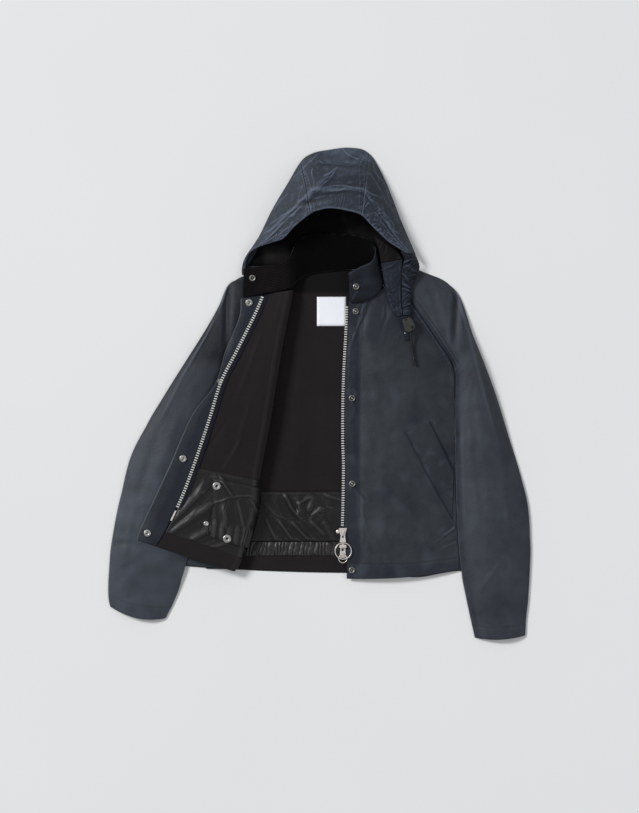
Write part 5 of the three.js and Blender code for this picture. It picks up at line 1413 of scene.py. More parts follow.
RIGHT_CUFF = [(322.4, -486.2), (359.1, -490.4), (396.9, -488.7), (433.7, -483.4)]
RIGHT_SLEEVE_CREASES = table(
    "x0 y0 x1 y1 width height",
    (300.3, 175.3, 319.2, 101.9, 4, 1.6),
    (319.2, 101.9, 363.3, -66.2, 5, 1.5),
    (233.1, 217.4, 268.8, 101.9, 9, -1.6),
    (317.1, -13.7, 342.3, -265.7, 9, -1.4),
    (371.7, -76.7, 396.9, -307.7, 10, 1.2),
    (342.3, -318.2, 411.6, -339.2, 6, -0.8),
    (333.9, -412.7, 380.1, -349.7, 6, 0.9),
    (298.2, -55.7, 304.5, -265.7, 6, 1.0),
)


def right_sleeve_relief(x, y, u, v):
    height = 1.0 * crumple(x, y, 58.0, 80, 2.6, 8.0) + fold_sum(RIGHT_SLEEVE_CREASES, x, y)
    away, along = polyline_distance(x, y, RAGLAN)
    felled = 0.35 * ease((13.0 - away) / 2.0)
    height = height + 0.3 * pucker(away, along, 9.0, 7.0) + felled
    stitched = groove(x, y, RAGLAN_OUTER, 1.8, 0.4) + 0.55 * groove(x, y, RIGHT_CUFF)
    return height * inside(u, v, 0.05, 0.02) + stitched


def right_sleeve_tint(x, y, u, v):
    # Painted shade in the valley along the raglan seam and along the sleeve's inner edge; also darker at its
    # outer edge and in random blotches.
    seam = 0.45 * near(x, y, RAGLAN, 34) * ease((RAGLAN[-1][1] - 20 - y) / -40)
    inner = 0.8 * ease((0.16 - u) / 0.16)
    blotches = 0.45 * clamp(noise(x, y, 60.0, 6.3)) + 0.25 * clamp(noise(x, y, 18.0, 16.3))
    return seam + inner + 0.4 * ease((u - 0.93) / 0.07) + blotches


dress(
    "sleeve_right_front", right_sleeve_point, 62, 210, CLOTH, SLEEVE_WAXED, "waxed_cotton",
    rests=["sleeve_right_back"], spacing=round_ends, relief=right_sleeve_relief, tint=right_sleeve_tint,
    wear=3.5,
    lines=lambda x, y, u, v: 0.2 * clamp(noise(x, y, 40.0, 29.3)),
)
dress(
    "sleeve_right_back", right_sleeve_back_point, 16, 80, CLOTH, SLEEVE_WAXED, "waxed_cotton",
    rests=["floor"],
)

LEFT_CUFF = [(-438.9, -424.2), (-394.8, -441), (-354.9, -446.9), (-313.7, -449.4)]
LEFT_SLEEVE_CREASES = table(
    "x0 y0 x1 y1 width height",
    (-218.4, 158.6, -243.6, 108.2, 4, 1.4),
    (-243.6, 108.2, -287.7, 32.6, 4, 1.5),
    (-287.7, 32.6, -329.7, -51.5, 5, 1.4),
    (-192.2, 223.7, -195.3, 133.3, 3, -1.2),
    (-333.9, -76.7, -384.3, -223.7, 10, -1.3),
    (-296.1, -55.7, -338.1, -160.7, 9, 1.1),
    (-434.7, -313.9, -388.5, -309.8, 5, -1.0),
    (-417.9, -360.2, -375.9, -332.9, 6, 0.8),
    (-386.4, -223.7, -409.5, -349.7, 8, 1.0),
)


def left_sleeve_relief(x, y, u, v):
    height = 1.0 * crumple(x, y, 56.0, 118, 2.6, 12.0) + fold_sum(LEFT_SLEEVE_CREASES, x, y)
    return height * inside(u, v, 0.05, 0.02) * ease((0.62 - u) / 0.15) + 0.55 * groove(x, y, LEFT_CUFF)


def left_sleeve_tint(x, y, u, v):
    # Painted shade on the upper sleeve beside the collar and the folded front; also darker at the outer edge
    # and in random blotches.
    shoulder_shade = 0.95 * ease((y - 45.1) / 60) * ease((x - -279.3) / 50) + 0.25 * ease((y - -34.6) / 80)
    blotches = 0.35 * clamp(noise(x, y, 60.0, 9.3)) + 0.2 * clamp(noise(x, y, 18.0, 19.3))
    return shoulder_shade + 0.4 * ease((0.07 - u) / 0.07) + blotches


dress(
    "sleeve_left_front", section_point(LEFT_SLEEVE, left_sleeve_height), 70, 190, CLOTH, SLEEVE_WAXED,
    "waxed_cotton", rests=["sleeve_left_back"], spacing=round_ends, relief=left_sleeve_relief,
    tint=left_sleeve_tint, wear=2.5,
    lines=lambda x, y, u, v: 0.3 * ease((-55.7 - y) / 150) * (0.7 + 0.6 * noise(x, y, 30.0, 7.7)),
)
dress(
    "sleeve_left_back", left_sleeve_back_point, 16, 80, CLOTH, SLEEVE_WAXED, "waxed_cotton",
    rests=["floor"],
)
dress("back_panel", back_point, 40, 60, CLOTH, WAXED, "waxed_cotton", rests=["floor"])

# The folded front: its shell, its linings and the flap outside the zip
OPENED_CREASES = table(
    "x0 y0 x1 y1 width height",
    (-119.7, 133.3, -174.3, -13.7, 7, 0.9),
    (-92.4, 101.9, -119.7, -34.6, 9, -0.8),
    (-144.9, -13.7, -182.7, -143.8, 8, 1.0),
    (-195.3, -55.7, -237.3, -118.7, 5, -0.7),
    (-165.9, -97.7, -203.7, -160.7, 5, 0.7),
    (-249.9, -223.7, -279.3, -276.2, 5, 1.0),
    (-275.1, -213.2, -300.3, -274.1, 4, -0.6),
    (-218.4, -269.9, -270.9, -307.7, 5, 0.7),
    (-174.3, -213.2, -165.9, -307.7, 6, 0.6),
    (-239.4, -177.5, -258.3, -223.7, 4, 0.7),
)


def opened_relief(x, y, u, v):
    return 0.55 * crumple(x, y, 48.0, 116, 2.3, 21.0) + fold_sum(OPENED_CREASES, x, y)


def faded(relief, across, along):
    return lambda x, y, u, v: relief(x, y, u, v) * inside(u, v, across, along)


LINING_END = 1 + 2 / 3
NYLON_ROW, FACING_ROW, ROW_GAP = 7 * OPENED_ROW, 9 * OPENED_ROW, -0.0004
ZIP_SIDE = 0.004
dress(
    "front_left_panel", opened_stretch(ZIP_SIDE, 3), 90, 122, CLOTH, WAXED, "waxed_cotton", held="folded",
    rests=["sleeve_left_front"], lift=-SHELL_UNDER_LINING,
    relief=lambda x, y, u, v: opened_relief(x, y, u, v) * ease((0.28 - u) / 0.06) * ease(u / 0.02)
    * edge_fade(v, 0.02),
)
dress(
    "front_left_lining", opened_stretch(ZIP_SIDE, LINING_END, 0, NYLON_ROW - ROW_GAP), 104, 142, LINING,
    COTTON, "cotton_lining", held="folded", rests=["front_left_panel"],
    relief=lambda x, y, u, v: opened_relief(x, y, u, v) * ease((0.55 - u) / 0.1) * ease(u / 0.03)
    * edge_fade(v, 0.02),
)
FRONT_NYLON_FOLDS = table(
    "x0 y0 x1 y1 width height",
    (-319.2, -288.8, -224.7, -202.7, 5.5, -4.2),
    (-308.7, -276.2, -235.2, -190.1, 9, 3.4),
    (-310.8, -290.9, -222.6, -232.1, 7, 3.2),
    (-279.3, -295.1, -220.5, -263.6, 4, -3.0),
    (-273, -309.8, -210, -276.2, 5, 2.6),
    (-256.2, -318.2, -199.5, -292.9, 3.5, -2.2),
    (-239.4, -326.6, -182.7, -309.8, 4, 1.8),
    (-224.7, -173.2, -195.3, -181.7, 5, 1.5),
    (-203.7, -177.5, -176.4, -217.4, 4, 3.0),
    (-174.3, -185.8, -140.7, -206.9, 8, -2.6),
)


def above_ground(height):
    """The folds kept clear of what the cloth lies on: hollows flatten out softly."""
    return (height + np.sqrt(height**2 + 1.2)) / 2


def front_nylon_relief(x, y, u, v):
    height = (
        opened_relief(x, y, u, v) + fold_sum(FRONT_NYLON_FOLDS, x, y)
        + 0.8 * crumple(x, y, 18.0, 140, 2.4, 27.0)
    )
    height = above_ground(height)
    return height * ease((0.55 - u) / 0.1) * ease(u / 0.03) * edge_fade(v, 0.05)


dress(
    "front_left_nylon", opened_stretch(ZIP_SIDE, LINING_END, NYLON_ROW + ROW_GAP, FACING_ROW - ROW_GAP),
    168, 84, LINING, NYLON, "nylon_lining", held="folded", rests=["front_left_panel"],
    relief=front_nylon_relief,
)
dress(
    "front_left_hem_facing", opened_stretch(ZIP_SIDE, LINING_END, FACING_ROW + ROW_GAP, 1), 116, 24, LINING,
    COTTON, "cotton_lining", held="folded", rests=["front_left_panel"],
    relief=faded(lambda x, y, u, v: 0.3 * crumple(x, y, 30.0, 160, 2.0, 23.0), 0.05, 0.2),
)


def flap_relief(x, y, u, v):
    height = 0.4 * crumple(x, y, 36.0, 116, 3.0, 31.0) + 0.12 * pucker(u * 0 + 2.0, y, 12.0, 9.0)
    return (height + dimples(x, y, FLAP_SNAPS, 16.0, 0.15)) * inside(u, v, 0.15, 0.02)


# The pale band at the flap's free edge is a painted highlight; the other pale patches are random.
dress(
    "front_left_flap", opened_stretch(-1, -0.03), 24, 250, CLOTH + GAP + LINING, WAXED, "waxed_cotton",
    held="folded", rests=["sleeve_left_front"], relief=flap_relief,
    tint=lambda x, y, u, v: 0.3 + 0.7 * ease((u - 0.2) / 0.4) + 0.3 * noise(x, y, 40.0, 4.3), wear=3.0,
    lines=lambda x, y, u, v: 0.6 * ease((0.06 - u) / 0.03)
    + 0.2 * clamp(noise(x, y, 24.0, 31.3)) * ease((0.5 - u) / 0.3),
)


SKIRT_FOLDS = table(
    "x0 y0 x1 y1 width height",
    (-199.5, -234.2, -191.1, -292.9, 6, 3.2),
    (-182.7, -225.8, -172.2, -282.4, 3.2, -2.8),
    (-168, -230, -155.4, -286.7, 4.5, 2.4),
    (-153.3, -230, -140.7, -282.4, 3.2, -2.0),
    (-214.2, -240.5, -203.7, -282.4, 4.5, -2.2),
    (-203.7, -179.6, -180.6, -215.2, 4, 3.0),
    (-174.3, -190.1, -144.9, -211.1, 8, -2.4),
    (-140.7, -223.7, -119.7, -265.7, 4, 1.6),
)
SKIRT_SEAM = [(-225.1, -234.2), (-203.7, -224.7), (-180, -215.9), (-157.5, -213.2), (-131.9, -214.4)]


def skirt_relief(x, y, u, v):
    height = fold_sum(SKIRT_FOLDS, x, y) + 0.7 * crumple(x, y, 13.0, 80, 2.2, 37.0)
    return above_ground(height) * inside(u, v, 0.05, 0.06) + creases([SKIRT_SEAM], x, y, 2.2, 1.6)


# The pale line on the skirt's seam ridge and the pale band at its edge are painted highlights on the nylon.
dress(
    "skirt_flap", skirt_point, 164, 90, LINING, NYLON, "nylon_lining", held="gathered",
    rests=["front_left_nylon"], relief=skirt_relief,
    lines=lambda x, y, u, v: creases([SKIRT_SEAM], x, y, 1.3, 1.2) + 0.7 * ease((0.03 - u) / 0.02),
)

# Back lining
LINING_FOLDS = table(
    "x0 y0 x1 y1 width height",
    (-39.9, 133.3, -48.3, -160.7, 9, 0.7),
    (6.3, 101.9, 14.7, -160.7, 10, 0.6),
    (-14.7, 28.4, -18.9, -181.7, 6, -0.5),
)


def back_lining_relief(x, y, u, v):
    free = ease((EDGE_OF_FRONT - x) / 12)
    return (
        0.4 + 0.35 * crumple(x, y, 50.0, 88, 2.6, 41.0) + fold_sum(LINING_FOLDS, x, y)
    ) * free * inside(u, v)


dress(
    "back_lining", section_point(LINING_BACK, level(BACK_LINING_TOP)), 50, 130, LINING, COTTON,
    "cotton_lining", rests=["back_panel"], relief=back_lining_relief,
    tint=lambda x, y, u, v: 0.9 * ease((y - 202.7) / 16),
)


BACK_NYLON_FOLDS = table(
    "x0 y0 x1 y1 width height",
    (-71.4, -213.2, -56.7, -240.5, 4.5, 3.6),
    (-58.8, -238.4, -39.9, -261.4, 4.5, 4.0),
    (-42, -257.2, -42, -230, 3.8, 3.4),
    (-42, -230, -12.6, -215.2, 4.2, 3.4),
    (-12.6, -217.4, -21, -244.7, 4, 3.0),
    (-84, -221.6, -69.3, -257.2, 5, -3.0),
    (-31.5, -232.1, -29.4, -257.2, 3.6, -3.0),
    (-4.2, -221.6, 12.6, -236.2, 5, -2.8),
    (10.5, -236.2, -16.8, -259.4, 4.5, 2.6),
    (14.7, -213.2, 54.6, -225.8, 5, 2.6),
    (18.9, -232.1, 60.9, -236.2, 4, -2.0),
    (-111.3, -263.6, -90.3, -305.6, 4, 2.8),
    (-96.6, -267.8, -73.5, -307.7, 3.4, -3.0),
    (-81.9, -269.9, -56.7, -305.6, 4, 3.2),
    (-65.1, -274.1, -35.7, -307.7, 3.6, -3.4),
    (-52.5, -274.1, -23.1, -305.6, 4, 3.2),
    (-33.6, -271.9, -2.1, -303.4, 4, -2.6),
    (-16.8, -267.8, 10.5, -295.1, 5, 2.6),
    (6.3, -263.6, 31.5, -307.7, 7, 1.8),
    (31.5, -248.9, 54.6, -303.4, 7, -1.8),
)
SKIRT_LINE = [(-128.1, -219.5), (-102.9, -251), (-71.4, -267.8), (-35.7, -265.7), (0, -253.1), (46.2, -240.5)]


def nylon_relief(x, y, u, v):
    fine = 0.7 * crumple(x, y, 14.0, 55, 2.0, 43.0) + fold_sum(BACK_NYLON_FOLDS, x, y)
    sewn = creases([SKIRT_LINE], x, y, 1.8, -1.8)
    return above_ground(0.3 + fine + sewn) * inside(u, v, 0.03, 0.05) * (0.35 + 0.65 * under_zip(x))


def folded_nylon_point(u, v):
    p = nylon_point(u, v)
    p[..., 2] = np.minimum(p[..., 2], NYLON_BASE + NYLON_KEPT * (p[..., 2] - NYLON_BASE))
    return p


NYLON_BASE, NYLON_KEPT = BACK_LINING_TOP + 0.4, 0.45
# The pale line beside the skirt's seam is a painted highlight on the nylon.
dress(
    "back_nylon", folded_nylon_point, 216, 98, LINING, NYLON, "nylon_lining", held="gathered",
    rests=["back_panel"], relief=nylon_relief,
    lines=lambda x, y, u, v: creases([aside(SKIRT_LINE, 3.4)], x, y, 1.1, 0.7),
)


def gathered_band_point(u, v):
    """The same band, with the elastic's gathers of uneven width and height."""
    y = mix(BAND_TOP, BAND_BOTTOM, v)
    x = mix(roll_edge(y) + 1, SHOWN_RIGHT, u)
    phase = 24 * u + 1.1 * noise(x, 0 * x + 40.0, 26.0, 3.1) + 0.25 * noise(x, y, 14.0, 5.1)
    wave = np.abs(np.cos(math.pi * phase)) ** 0.8
    swell = 0.5 + 0.5 * np.sin(math.pi * v) + 0.4 * noise(x, y, 11.0, 8.1)
    return points(x, y, BACK_LINING_TOP + 0.4 + under_zip(x) * BAND_HEIGHT * wave * clamp(swell))


dress(
    "back_waistband", gathered_band_point, 300, 24, LINING, NYLON, "nylon_lining", held="gathered",
    rests=["back_panel"],
)
dress(
    "back_hem_facing", section_point(FACING, level(BACK_LINING_TOP)), 60, 10, LINING, COTTON,
    "cotton_lining", rests=["back_panel"],
    relief=faded(lambda x, y, u, v: 0.25 * crumple(x, y, 26.0, 0, 2.0, 47.0), 0.05, 0.2),
)
dress("neck_label", label_point, 12, 12, LABEL_THICKNESS, LABEL, "label_tape", rests=["back_lining"])

# Collar
COLLAR_LAYER = -CORDUROY - 2 * GAP


def collar_cover_point(u, v):
    """The collar's outer cloth, which runs on at its right end over the top of the front."""
    reach = COLLAR_OVERLAP * ease((u - 0.74) / 0.08)
    v = mix(-reach, 1, v)
    p = collar_point(u, v)
    rest = right_front_at(p[..., 0], p[..., 1]) + CLOTH + 3 * GAP - COLLAR_LAYER
    p[..., 2] = np.where(
        v < 0, mix(p[..., 2], np.minimum(p[..., 2], rest), ease(-v / COLLAR_OVERLAP)), p[..., 2],
    )
    return p


COLLAR_OVERLAP = 0.17


def collar_relief(x, y, u, v):
    return 0.9 * crumple(x, y, 30.0, 60, 2.2, 51.0) * inside(u, v, 0.02, 0.15)


# Its tint is painted shade: from x = -73.5 on, the corduroy darkens to near black where the hood shades it.
dress(
    "collar_lining", collar_point, 210, 34, CORDUROY, CORD_CLOTH, "corduroy", held="folded",
    rests=["collar_shell"], side=1, relief=collar_relief,
    tint=lambda x, y, u, v: 0.95 * ease((x - -73.5) / 30),
)
# The pale band at the collar's top edge is a painted highlight.
dress(
    "collar_shell", collar_cover_point, 210, 26, CLOTH, SHADED_WAXED, "waxed_cotton", held="folded",
    rests=["back_panel"], side=1, lift=COLLAR_LAYER, relief=collar_relief,
    tint=lambda x, y, u, v: 0.45 + 0.5 * noise(x, y, 20.0, 3.9),
    lines=lambda x, y, u, v: 0.5 * ease((v - 0.955) / 0.02),
)

# Hood
HOOD_LEFT_SEAM = [(-42, 479.9), (-29.4, 452.6), (-21, 423.2), (-16.8, 400.1), (-14.7, 379.1)]
HOOD_RIGHT_SEAM = [(102.9, 507.2), (88.2, 471.5), (90.3, 431.6), (88.2, 385.4)]
HOOD_LINES = [
    [(-119.7, 339.2), (-100.8, 354.7), (-75.6, 370.7), (-52.5, 383.2), (-30.2, 400.1), (-4.6, 422.1),
     (21, 442.1), (39.9, 457.6)],
    [(-132.3, 322.4), (-111.3, 339.2), (-91.4, 348.2), (-69.3, 361.2), (-46.2, 380.3), (-27.3, 400.1)],
    [(2.1, 507.2), (-17.4, 486.6), (-36.8, 468.7), (-51.2, 452.6), (-59.2, 435.1)],
    [(-14.7, 473.6), (-14.7, 452.6), (-12.6, 429.5)],
    [(-4.6, 489.7), (8.4, 479.9), (33.6, 479.9), (56.7, 475.7), (77.7, 478.8)],
    [(6.3, 448.4), (23.1, 461), (42, 473.6)],
    [(21, 444.2), (29.4, 456.8), (35.7, 467.2)],
    [(-2.1, 427.4), (21, 430.5), (44.1, 431.8), (69.3, 427.4), (92, 425.2), (111.3, 415.8), (136.5, 400.1)],
    [(-17.4, 397.9), (8.4, 409.3), (33.6, 415.8), (59.9, 425.2)],
    [(96.6, 412.7), (111.3, 400.1), (123.9, 386.8), (140.1, 354.7), (152.9, 334.9)],
    [(102.9, 467.2), (120.8, 438.3), (136.5, 415.8), (143.4, 391.7)],
    [(140.7, 446.2), (144.9, 415.8), (165.9, 380.3), (184.8, 341.2)],
    [(81.9, 505.1), (111.3, 479.9), (130.2, 448.4), (152.9, 414.8)],
    [(153.3, 395.9), (165.9, 367.5), (181.9, 353.9), (193.2, 328.7)],
    [(121.8, 402.2), (143.4, 370.7), (156.2, 341.9), (175.6, 328.7)],
    [(-149.1, 307.7), (-130.2, 322.4), (-113.8, 341.2), (-100.8, 354.7)],
    [(-115.5, 313.9), (-98.7, 330.8), (-84, 345.4)],
    [(-90.3, 322.4), (-71.4, 339.2), (-52.5, 362.2)],
    [(44.1, 514.5), (65.1, 498.8), (88.2, 484.1)],
    [(-48.3, 395.9), (-37.8, 416.9), (-31.5, 435.8)],
    [(-102.9, 376.9), (-79.8, 406.4), (-60.9, 423.2)],
]
HOOD_HOLLOWS = table(
    "x0 y0 x1 y1 width height",
    (10.5, 494.6, 86.1, 492.5, 13, -2.2),
    (-107.1, 330.8, -39.9, 391.7, 4, -1.4),
    (-8.4, 410.6, 65.1, 421.1, 4, -1.1),
    (14.7, 444.2, 81.9, 448.4, 7, -1.2),
    (111.3, 406.4, 149.1, 339.2, 4, -1.4),
    (115.5, 456.8, 136.5, 414.8, 4, -1.0),
    (-73.5, 393.8, -39.9, 444.2, 6, -0.8),
    (149.1, 406.4, 174.3, 351.8, 4, -1.0),
)


def hood_relief(seed, brim_gathers):
    def relief(x, y, u, v):
        height = 0.45 * crumple(x, y, 34.0, 35, 1.8, seed) + fold_sum(HOOD_HOLLOWS, x, y)
        height = height + creases(HOOD_LINES, x, y, 2.0, 0.55)
        height = height + brim_gathers * crumple(x, y, 11.0, 60, 1.5, seed + 2) * np.exp(-((v / 0.3) ** 2))
        for path in (HOOD_LEFT_SEAM, HOOD_RIGHT_SEAM):
            away, along = polyline_distance(x, y, path)
            height = height + 0.12 * pucker(away, along, 8.0, seed) + 0.2 * ease((7.5 - away) / 2.5)
        channel = -0.6 * np.exp(-(((v - CHANNEL_ROW) / 0.03) ** 2))
        return height * inside(u, v, 0.02, 0.03) + channel
    return relief


def hood_lines(x, y, u, v):
    # Pale creases along the hood's lines, partly wax wear and partly painted sheen; random pale patches, more
    # toward the crown's top; and a painted highlight along the brim's edge.
    worn = 0.25 * clamp(noise(x, y, 12.0, 9.3)) + 0.2 * ease((y - 477.8) / 16) * ease((x - -2.1) / 20)
    return creases(HOOD_LINES, x, y, 1.1, 0.5) + worn + 0.5 * ease((0.03 - v) / 0.02)


def hood_tint(x, y, u, v):
    seams = sum(near(x, y, path, 5) for path in (HOOD_LEFT_SEAM, HOOD_RIGHT_SEAM))
    left_end = ease((-140.7 - x) / 12)
    return 0.3 * seams + 0.35 * clamp(noise(x, y, 45.0, 13.3)) + 0.9 * left_end * ease((301.4 - y) / 12)


CHANNEL_ROW = 0.22  # the stitching behind the brim's cord channel
HOOD_GRIDS = {
    "hood_left": (180, 104, 61.0, 0.8),
    "hood_centre": (120, 110, 65.0, 0.4),
    "hood_right": (110, 110, 69.0, 1.1),
}
for k, (name, (columns, rows, seed, gathers)) in enumerate(HOOD_GRIDS.items()):
    dress(
        name, hood_stretch(HOOD_SEAMS[k], HOOD_SEAMS[k + 1]), columns, rows, CLOTH, HOOD_WAXED,
        "waxed_cotton",
        rests=["hood_back"], side=1, relief=hood_relief(seed, gathers), tint=hood_tint, lines=hood_lines,
        wear=5.0,
    )
dress(
    "hood_lining_crown", crown_lining_point, 60, 24, LINING, BLACK, "black_lining", held="hung",
    rests=["hood_centre"], side=1, lift=-CLOTH - 1.6 * GAP,
)
dress(
    "hood_back", section_point(HOOD_BACK, level(CLOTH)), 24, 40, CLOTH, HOOD_WAXED, "waxed_cotton",
    rests=["floor"],
)


def hood_floor_relief(x, y, u, v):
    return (0.8 + 0.8 * crumple(x, y, 40.0, 70, 2.0, 71.0)) * inside(u, v, 0.08, 0.08)


HOOD_FLOOR_FOLDS = [
    [(50.4, 385.4), (54.6, 364.4), (63, 341.2), (73.5, 320.2)],
    [(-119.7, 305.6), (-102.9, 288.8), (-77.7, 276.2)],
]


def hood_floor_lines(x, y, u, v):
    patch = ease((x - -119.7) / 8) * ease((-58.8 - x) / 8) * ease((313.9 - y) / 8)
    right = ease((x - 54.6) / 12) * ease((y - 309.8) / 12)
    return 0.5 * patch + 0.25 * right + creases(HOOD_FLOOR_FOLDS, x, y, 3.0, 0.6)


dress(
    "hood_lining_back", section_point(HOOD_FLOOR, level(BACK_LINING_TOP)), 60, 40, LINING, BLACK,
    "black_lining", rests=["hood_back"], relief=hood_floor_relief, lines=hood_floor_lines,
)
dress(
    "hood_lining_side", slanted(INSIDE_RIGHT, 1), 24, 30, LINING, COTTON, "black_lining", held="hung",
    rests=["hood_right"],
    relief=lambda x, y, u, v: 0.8 * crumple(x, y, 22.0, 70, 2.0, 73.0) * inside(u, v, 0.1, 0.1),
    tint=lambda x, y, u, v: 0.75 + 0.25 * ease((u - 0.3) / 0.5),
)


def facing_relief(x, y, u, v):
    return 0.9 * crumple(x, y, 20.0, 20, 1.6, 75.0) * inside(u, v, 0.15, 0.1)


dress(
    "hood_facing", slanted(HOOD_FACING, 1.2), 36, 84, CLOTH, SHADED_WAXED, "waxed_cotton", held="folded",
    rests=["front_right_panel"], relief=facing_relief, wear=6.0,
    tint=lambda x, y, u, v: 0.1 + 0.3 * noise(x, y, 20.0, 1.3),
)


def channel_relief(x, y, u, v):
    return 0.9 * crumple(x, y, 11.0, 25, 1.5, 79.0) * inside(u, v, 0.12, 0.05)


dress(
    "hood_channel", section_point(CHANNEL, channel_height), 30, 160, CLOTH, SHADED_WAXED, "waxed_cotton",
    held="gathered", rests=["front_right_panel"], relief=channel_relief,
    tint=lambda x, y, u, v: 0.25 + 0.5 * noise(x, y, 16.0, 2.3), wear=2.5,
)
dress(
    "hood_tab", slanted(TAB, 0), 20, 40, CLOTH, SHADED_WAXED, "waxed_cotton", rests=["front_right_panel"],
)

# Zip: tapes, then the teeth one by one
TEETH_WIDTH, TEETH_HEIGHT, TEETH_PITCH, TOOTH_LENGTH = 6.5, 2.5, 5.2, 2.5
TAPE_WIDTH, TAPE_THICKNESS = 9.0, 0.8
ZIP_END_ROW = 8.33 * OPENED_ROW
ZIP_TOP_ROW = 0.012
ZIP_TOP, ZIP_BOTTOM = 183.8, -280.4
EDGE_LEVEL = 9.5
TEETH_TOP = EDGE_LEVEL - 0.6
TAPE_TOP = TEETH_TOP - TEETH_HEIGHT + TAPE_THICKNESS


def opened_aside(offset, v):
    """A point of the opened front beside its zip, towards the lining where offset is above 0."""
    offset, v = np.broadcast_arrays(np.asarray(offset, float), np.asarray(v, float))
    zip_at = opened_point(0 * v, v)
    toward = opened_point(np.where(offset > 0, 0.2, -0.5), v)
    return zip_at + unit(toward - zip_at) * np.abs(offset)[..., None]


def left_tape_point(u, v):
    row = mix(ZIP_TOP_ROW, ZIP_END_ROW, v)
    return opened_aside(mix(TEETH_WIDTH / 2 + GAP, TEETH_WIDTH / 2 + TAPE_WIDTH, u), row)


def right_tape_point(u, v):
    y = mix(ZIP_TOP, ZIP_BOTTOM, v)
    edge = TEETH_WIDTH / 2 + GAP
    return points(zip_right(y) + edge + TAPE_WIDTH * u, y, TAPE_TOP)


dress(
    "zip_tape_left", left_tape_point, 10, 200, TAPE_THICKNESS, TAPE, "zip_tape", rests=["front_left_lining"],
    lift=TAPE_THICKNESS + 2 * GAP,
)
dress(
    "zip_tape_right", right_tape_point, 10, 120, TAPE_THICKNESS, TAPE, "zip_tape",
    rests=["front_right_panel"],
)


def placed(name, shape, faces, origins, along, across, up, material, body, nodes=()):
    """Copies of one small shape, each set at an origin on its own three directions."""
    shape = np.array(shape, float)
    verts = (
        origins[:, None, :]
        + shape[None, :, :1] * along[:, None, :]
        + shape[None, :, 1:2] * across[:, None, :]
        + shape[None, :, 2:] * up[:, None, :]
    )
    copies = np.arange(len(origins))[:, None, None] * len(shape)
    made = mesh_object(
        name, verts.reshape(-1, 3), (np.array(faces)[None] + copies).reshape(-1, len(faces[0])),
        material=material, shade=False,
    )
    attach(made, body)
    if nodes:
        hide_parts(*nodes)
    return made


def stepped(path, pitch, start=0.5):
    """Places at an even pitch along a dense line of points, and the line's direction there."""
    run = np.concatenate([[0], np.cumsum(np.linalg.norm(np.diff(path, axis=0), axis=1))])
    at = np.arange(start * pitch, run[-1] - start * pitch, pitch)
    spots = np.stack([np.interp(at, run, path[:, k]) for k in range(3)], axis=1)
    return spots, unit(np.stack([np.interp(at, run, np.gradient(path[:, k])) for k in range(3)], axis=1))


# A tooth: along, across and up; its top is narrower than its foot, and its nose is rounded off
HALF, NOSE = TOOTH_LENGTH / 2, TEETH_WIDTH / 2
TOOTH = [
    (-HALF, -NOSE + 0.5, -1.1), (HALF, -NOSE + 0.5, -1.1), (HALF, NOSE - 0.5, -1.1),
    (-HALF, NOSE - 0.5, -1.1),
    (-HALF, -NOSE, -0.4), (HALF, -NOSE, -0.4), (HALF, NOSE, -0.4), (-HALF, NOSE, -0.4),
    (-HALF, -NOSE + 0.2, 0.5), (HALF, -NOSE + 0.2, 0.5), (HALF, NOSE - 0.2, 0.5), (-HALF, NOSE - 0.2, 0.5),
    (-0.6 * HALF, -NOSE + 0.8, 1.1), (0.6 * HALF, -NOSE + 0.8, 1.1),
    (0.6 * HALF, NOSE - 0.8, 1.1), (-0.6 * HALF, NOSE - 0.8, 1.1),
]
TOOTH_FACES = [(3, 2, 1, 0), (12, 13, 14, 15)]
for low in (0, 4, 8):
    TOOTH_FACES += [(low + k, low + (k + 1) % 4, low + 4 + (k + 1) % 4, low + 4 + k) for k in range(4)]

rows = np.linspace(ZIP_TOP_ROW, ZIP_END_ROW, 1500)
centre = opened_aside(0 * rows, rows)
spots, along = stepped(centre, TEETH_PITCH)
row_at = np.interp(np.arange(len(spots)), np.linspace(0, len(spots) - 1, len(rows)), rows)
across = unit(opened_aside(4 + 0 * row_at, row_at) - opened_aside(0 * row_at, row_at))
across = unit(across - (across * along).sum(1, keepdims=True) * along)
up = np.cross(along, across)
up = up * np.sign(up[:, 2:])
placed(
    "zip_teeth_left_row", TOOTH, TOOTH_FACES, spots + up * (2 * GAP + TEETH_HEIGHT / 2), along, across, up,
    TEETH_METAL,
    "root", ["zip_teeth_left"],
)

y = np.linspace(ZIP_TOP, ZIP_BOTTOM, 1500)
centre = points(zip_right(y), y, TEETH_TOP - TEETH_HEIGHT / 2)
spots, along = stepped(centre, TEETH_PITCH)
up = np.broadcast_to([0.0, 0.0, 1.0], spots.shape)
placed(
    "zip_teeth_right_row", TOOTH, TOOTH_FACES, spots, along, np.cross(up, along), up, TEETH_METAL,
    "root", ["zip_teeth_right"],
)


# Metal and moulded fittings: the solids' own shapes with their edges eased
def softened(node, body, width, material):
    """A piece with the node's form, its edges rounded by "width" millimetres."""
    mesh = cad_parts[node].data.copy()
    mesh.name = node + "_smooth"
    made = bpy.data.objects.new(node + "_smooth", mesh)
    bpy.context.scene.collection.objects.link(made)
    work = bmesh.new()
    work.from_mesh(mesh)
    bmesh.ops.remove_doubles(work, verts=work.verts, dist=1e-6)
    bmesh.ops.dissolve_limit(work, angle_limit=0.02, verts=work.verts, edges=work.edges)
    sharp = [edge for edge in work.edges if len(edge.link_faces) == 2 and edge.calc_face_angle() > 0.5]
    bmesh.ops.bevel(
        work, geom=sharp, offset=width * MM, offset_type="OFFSET", segments=2, profile=0.6, affect="EDGES",
        clamp_overlap=True,
    )
    work.to_mesh(mesh)
    work.free()
    mesh.materials.clear()
    mesh.materials.append(material)
    mesh.polygons.foreach_set("use_smooth", np.zeros(len(mesh.polygons), bool))
    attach(made, body)
    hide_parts(node)
    return made


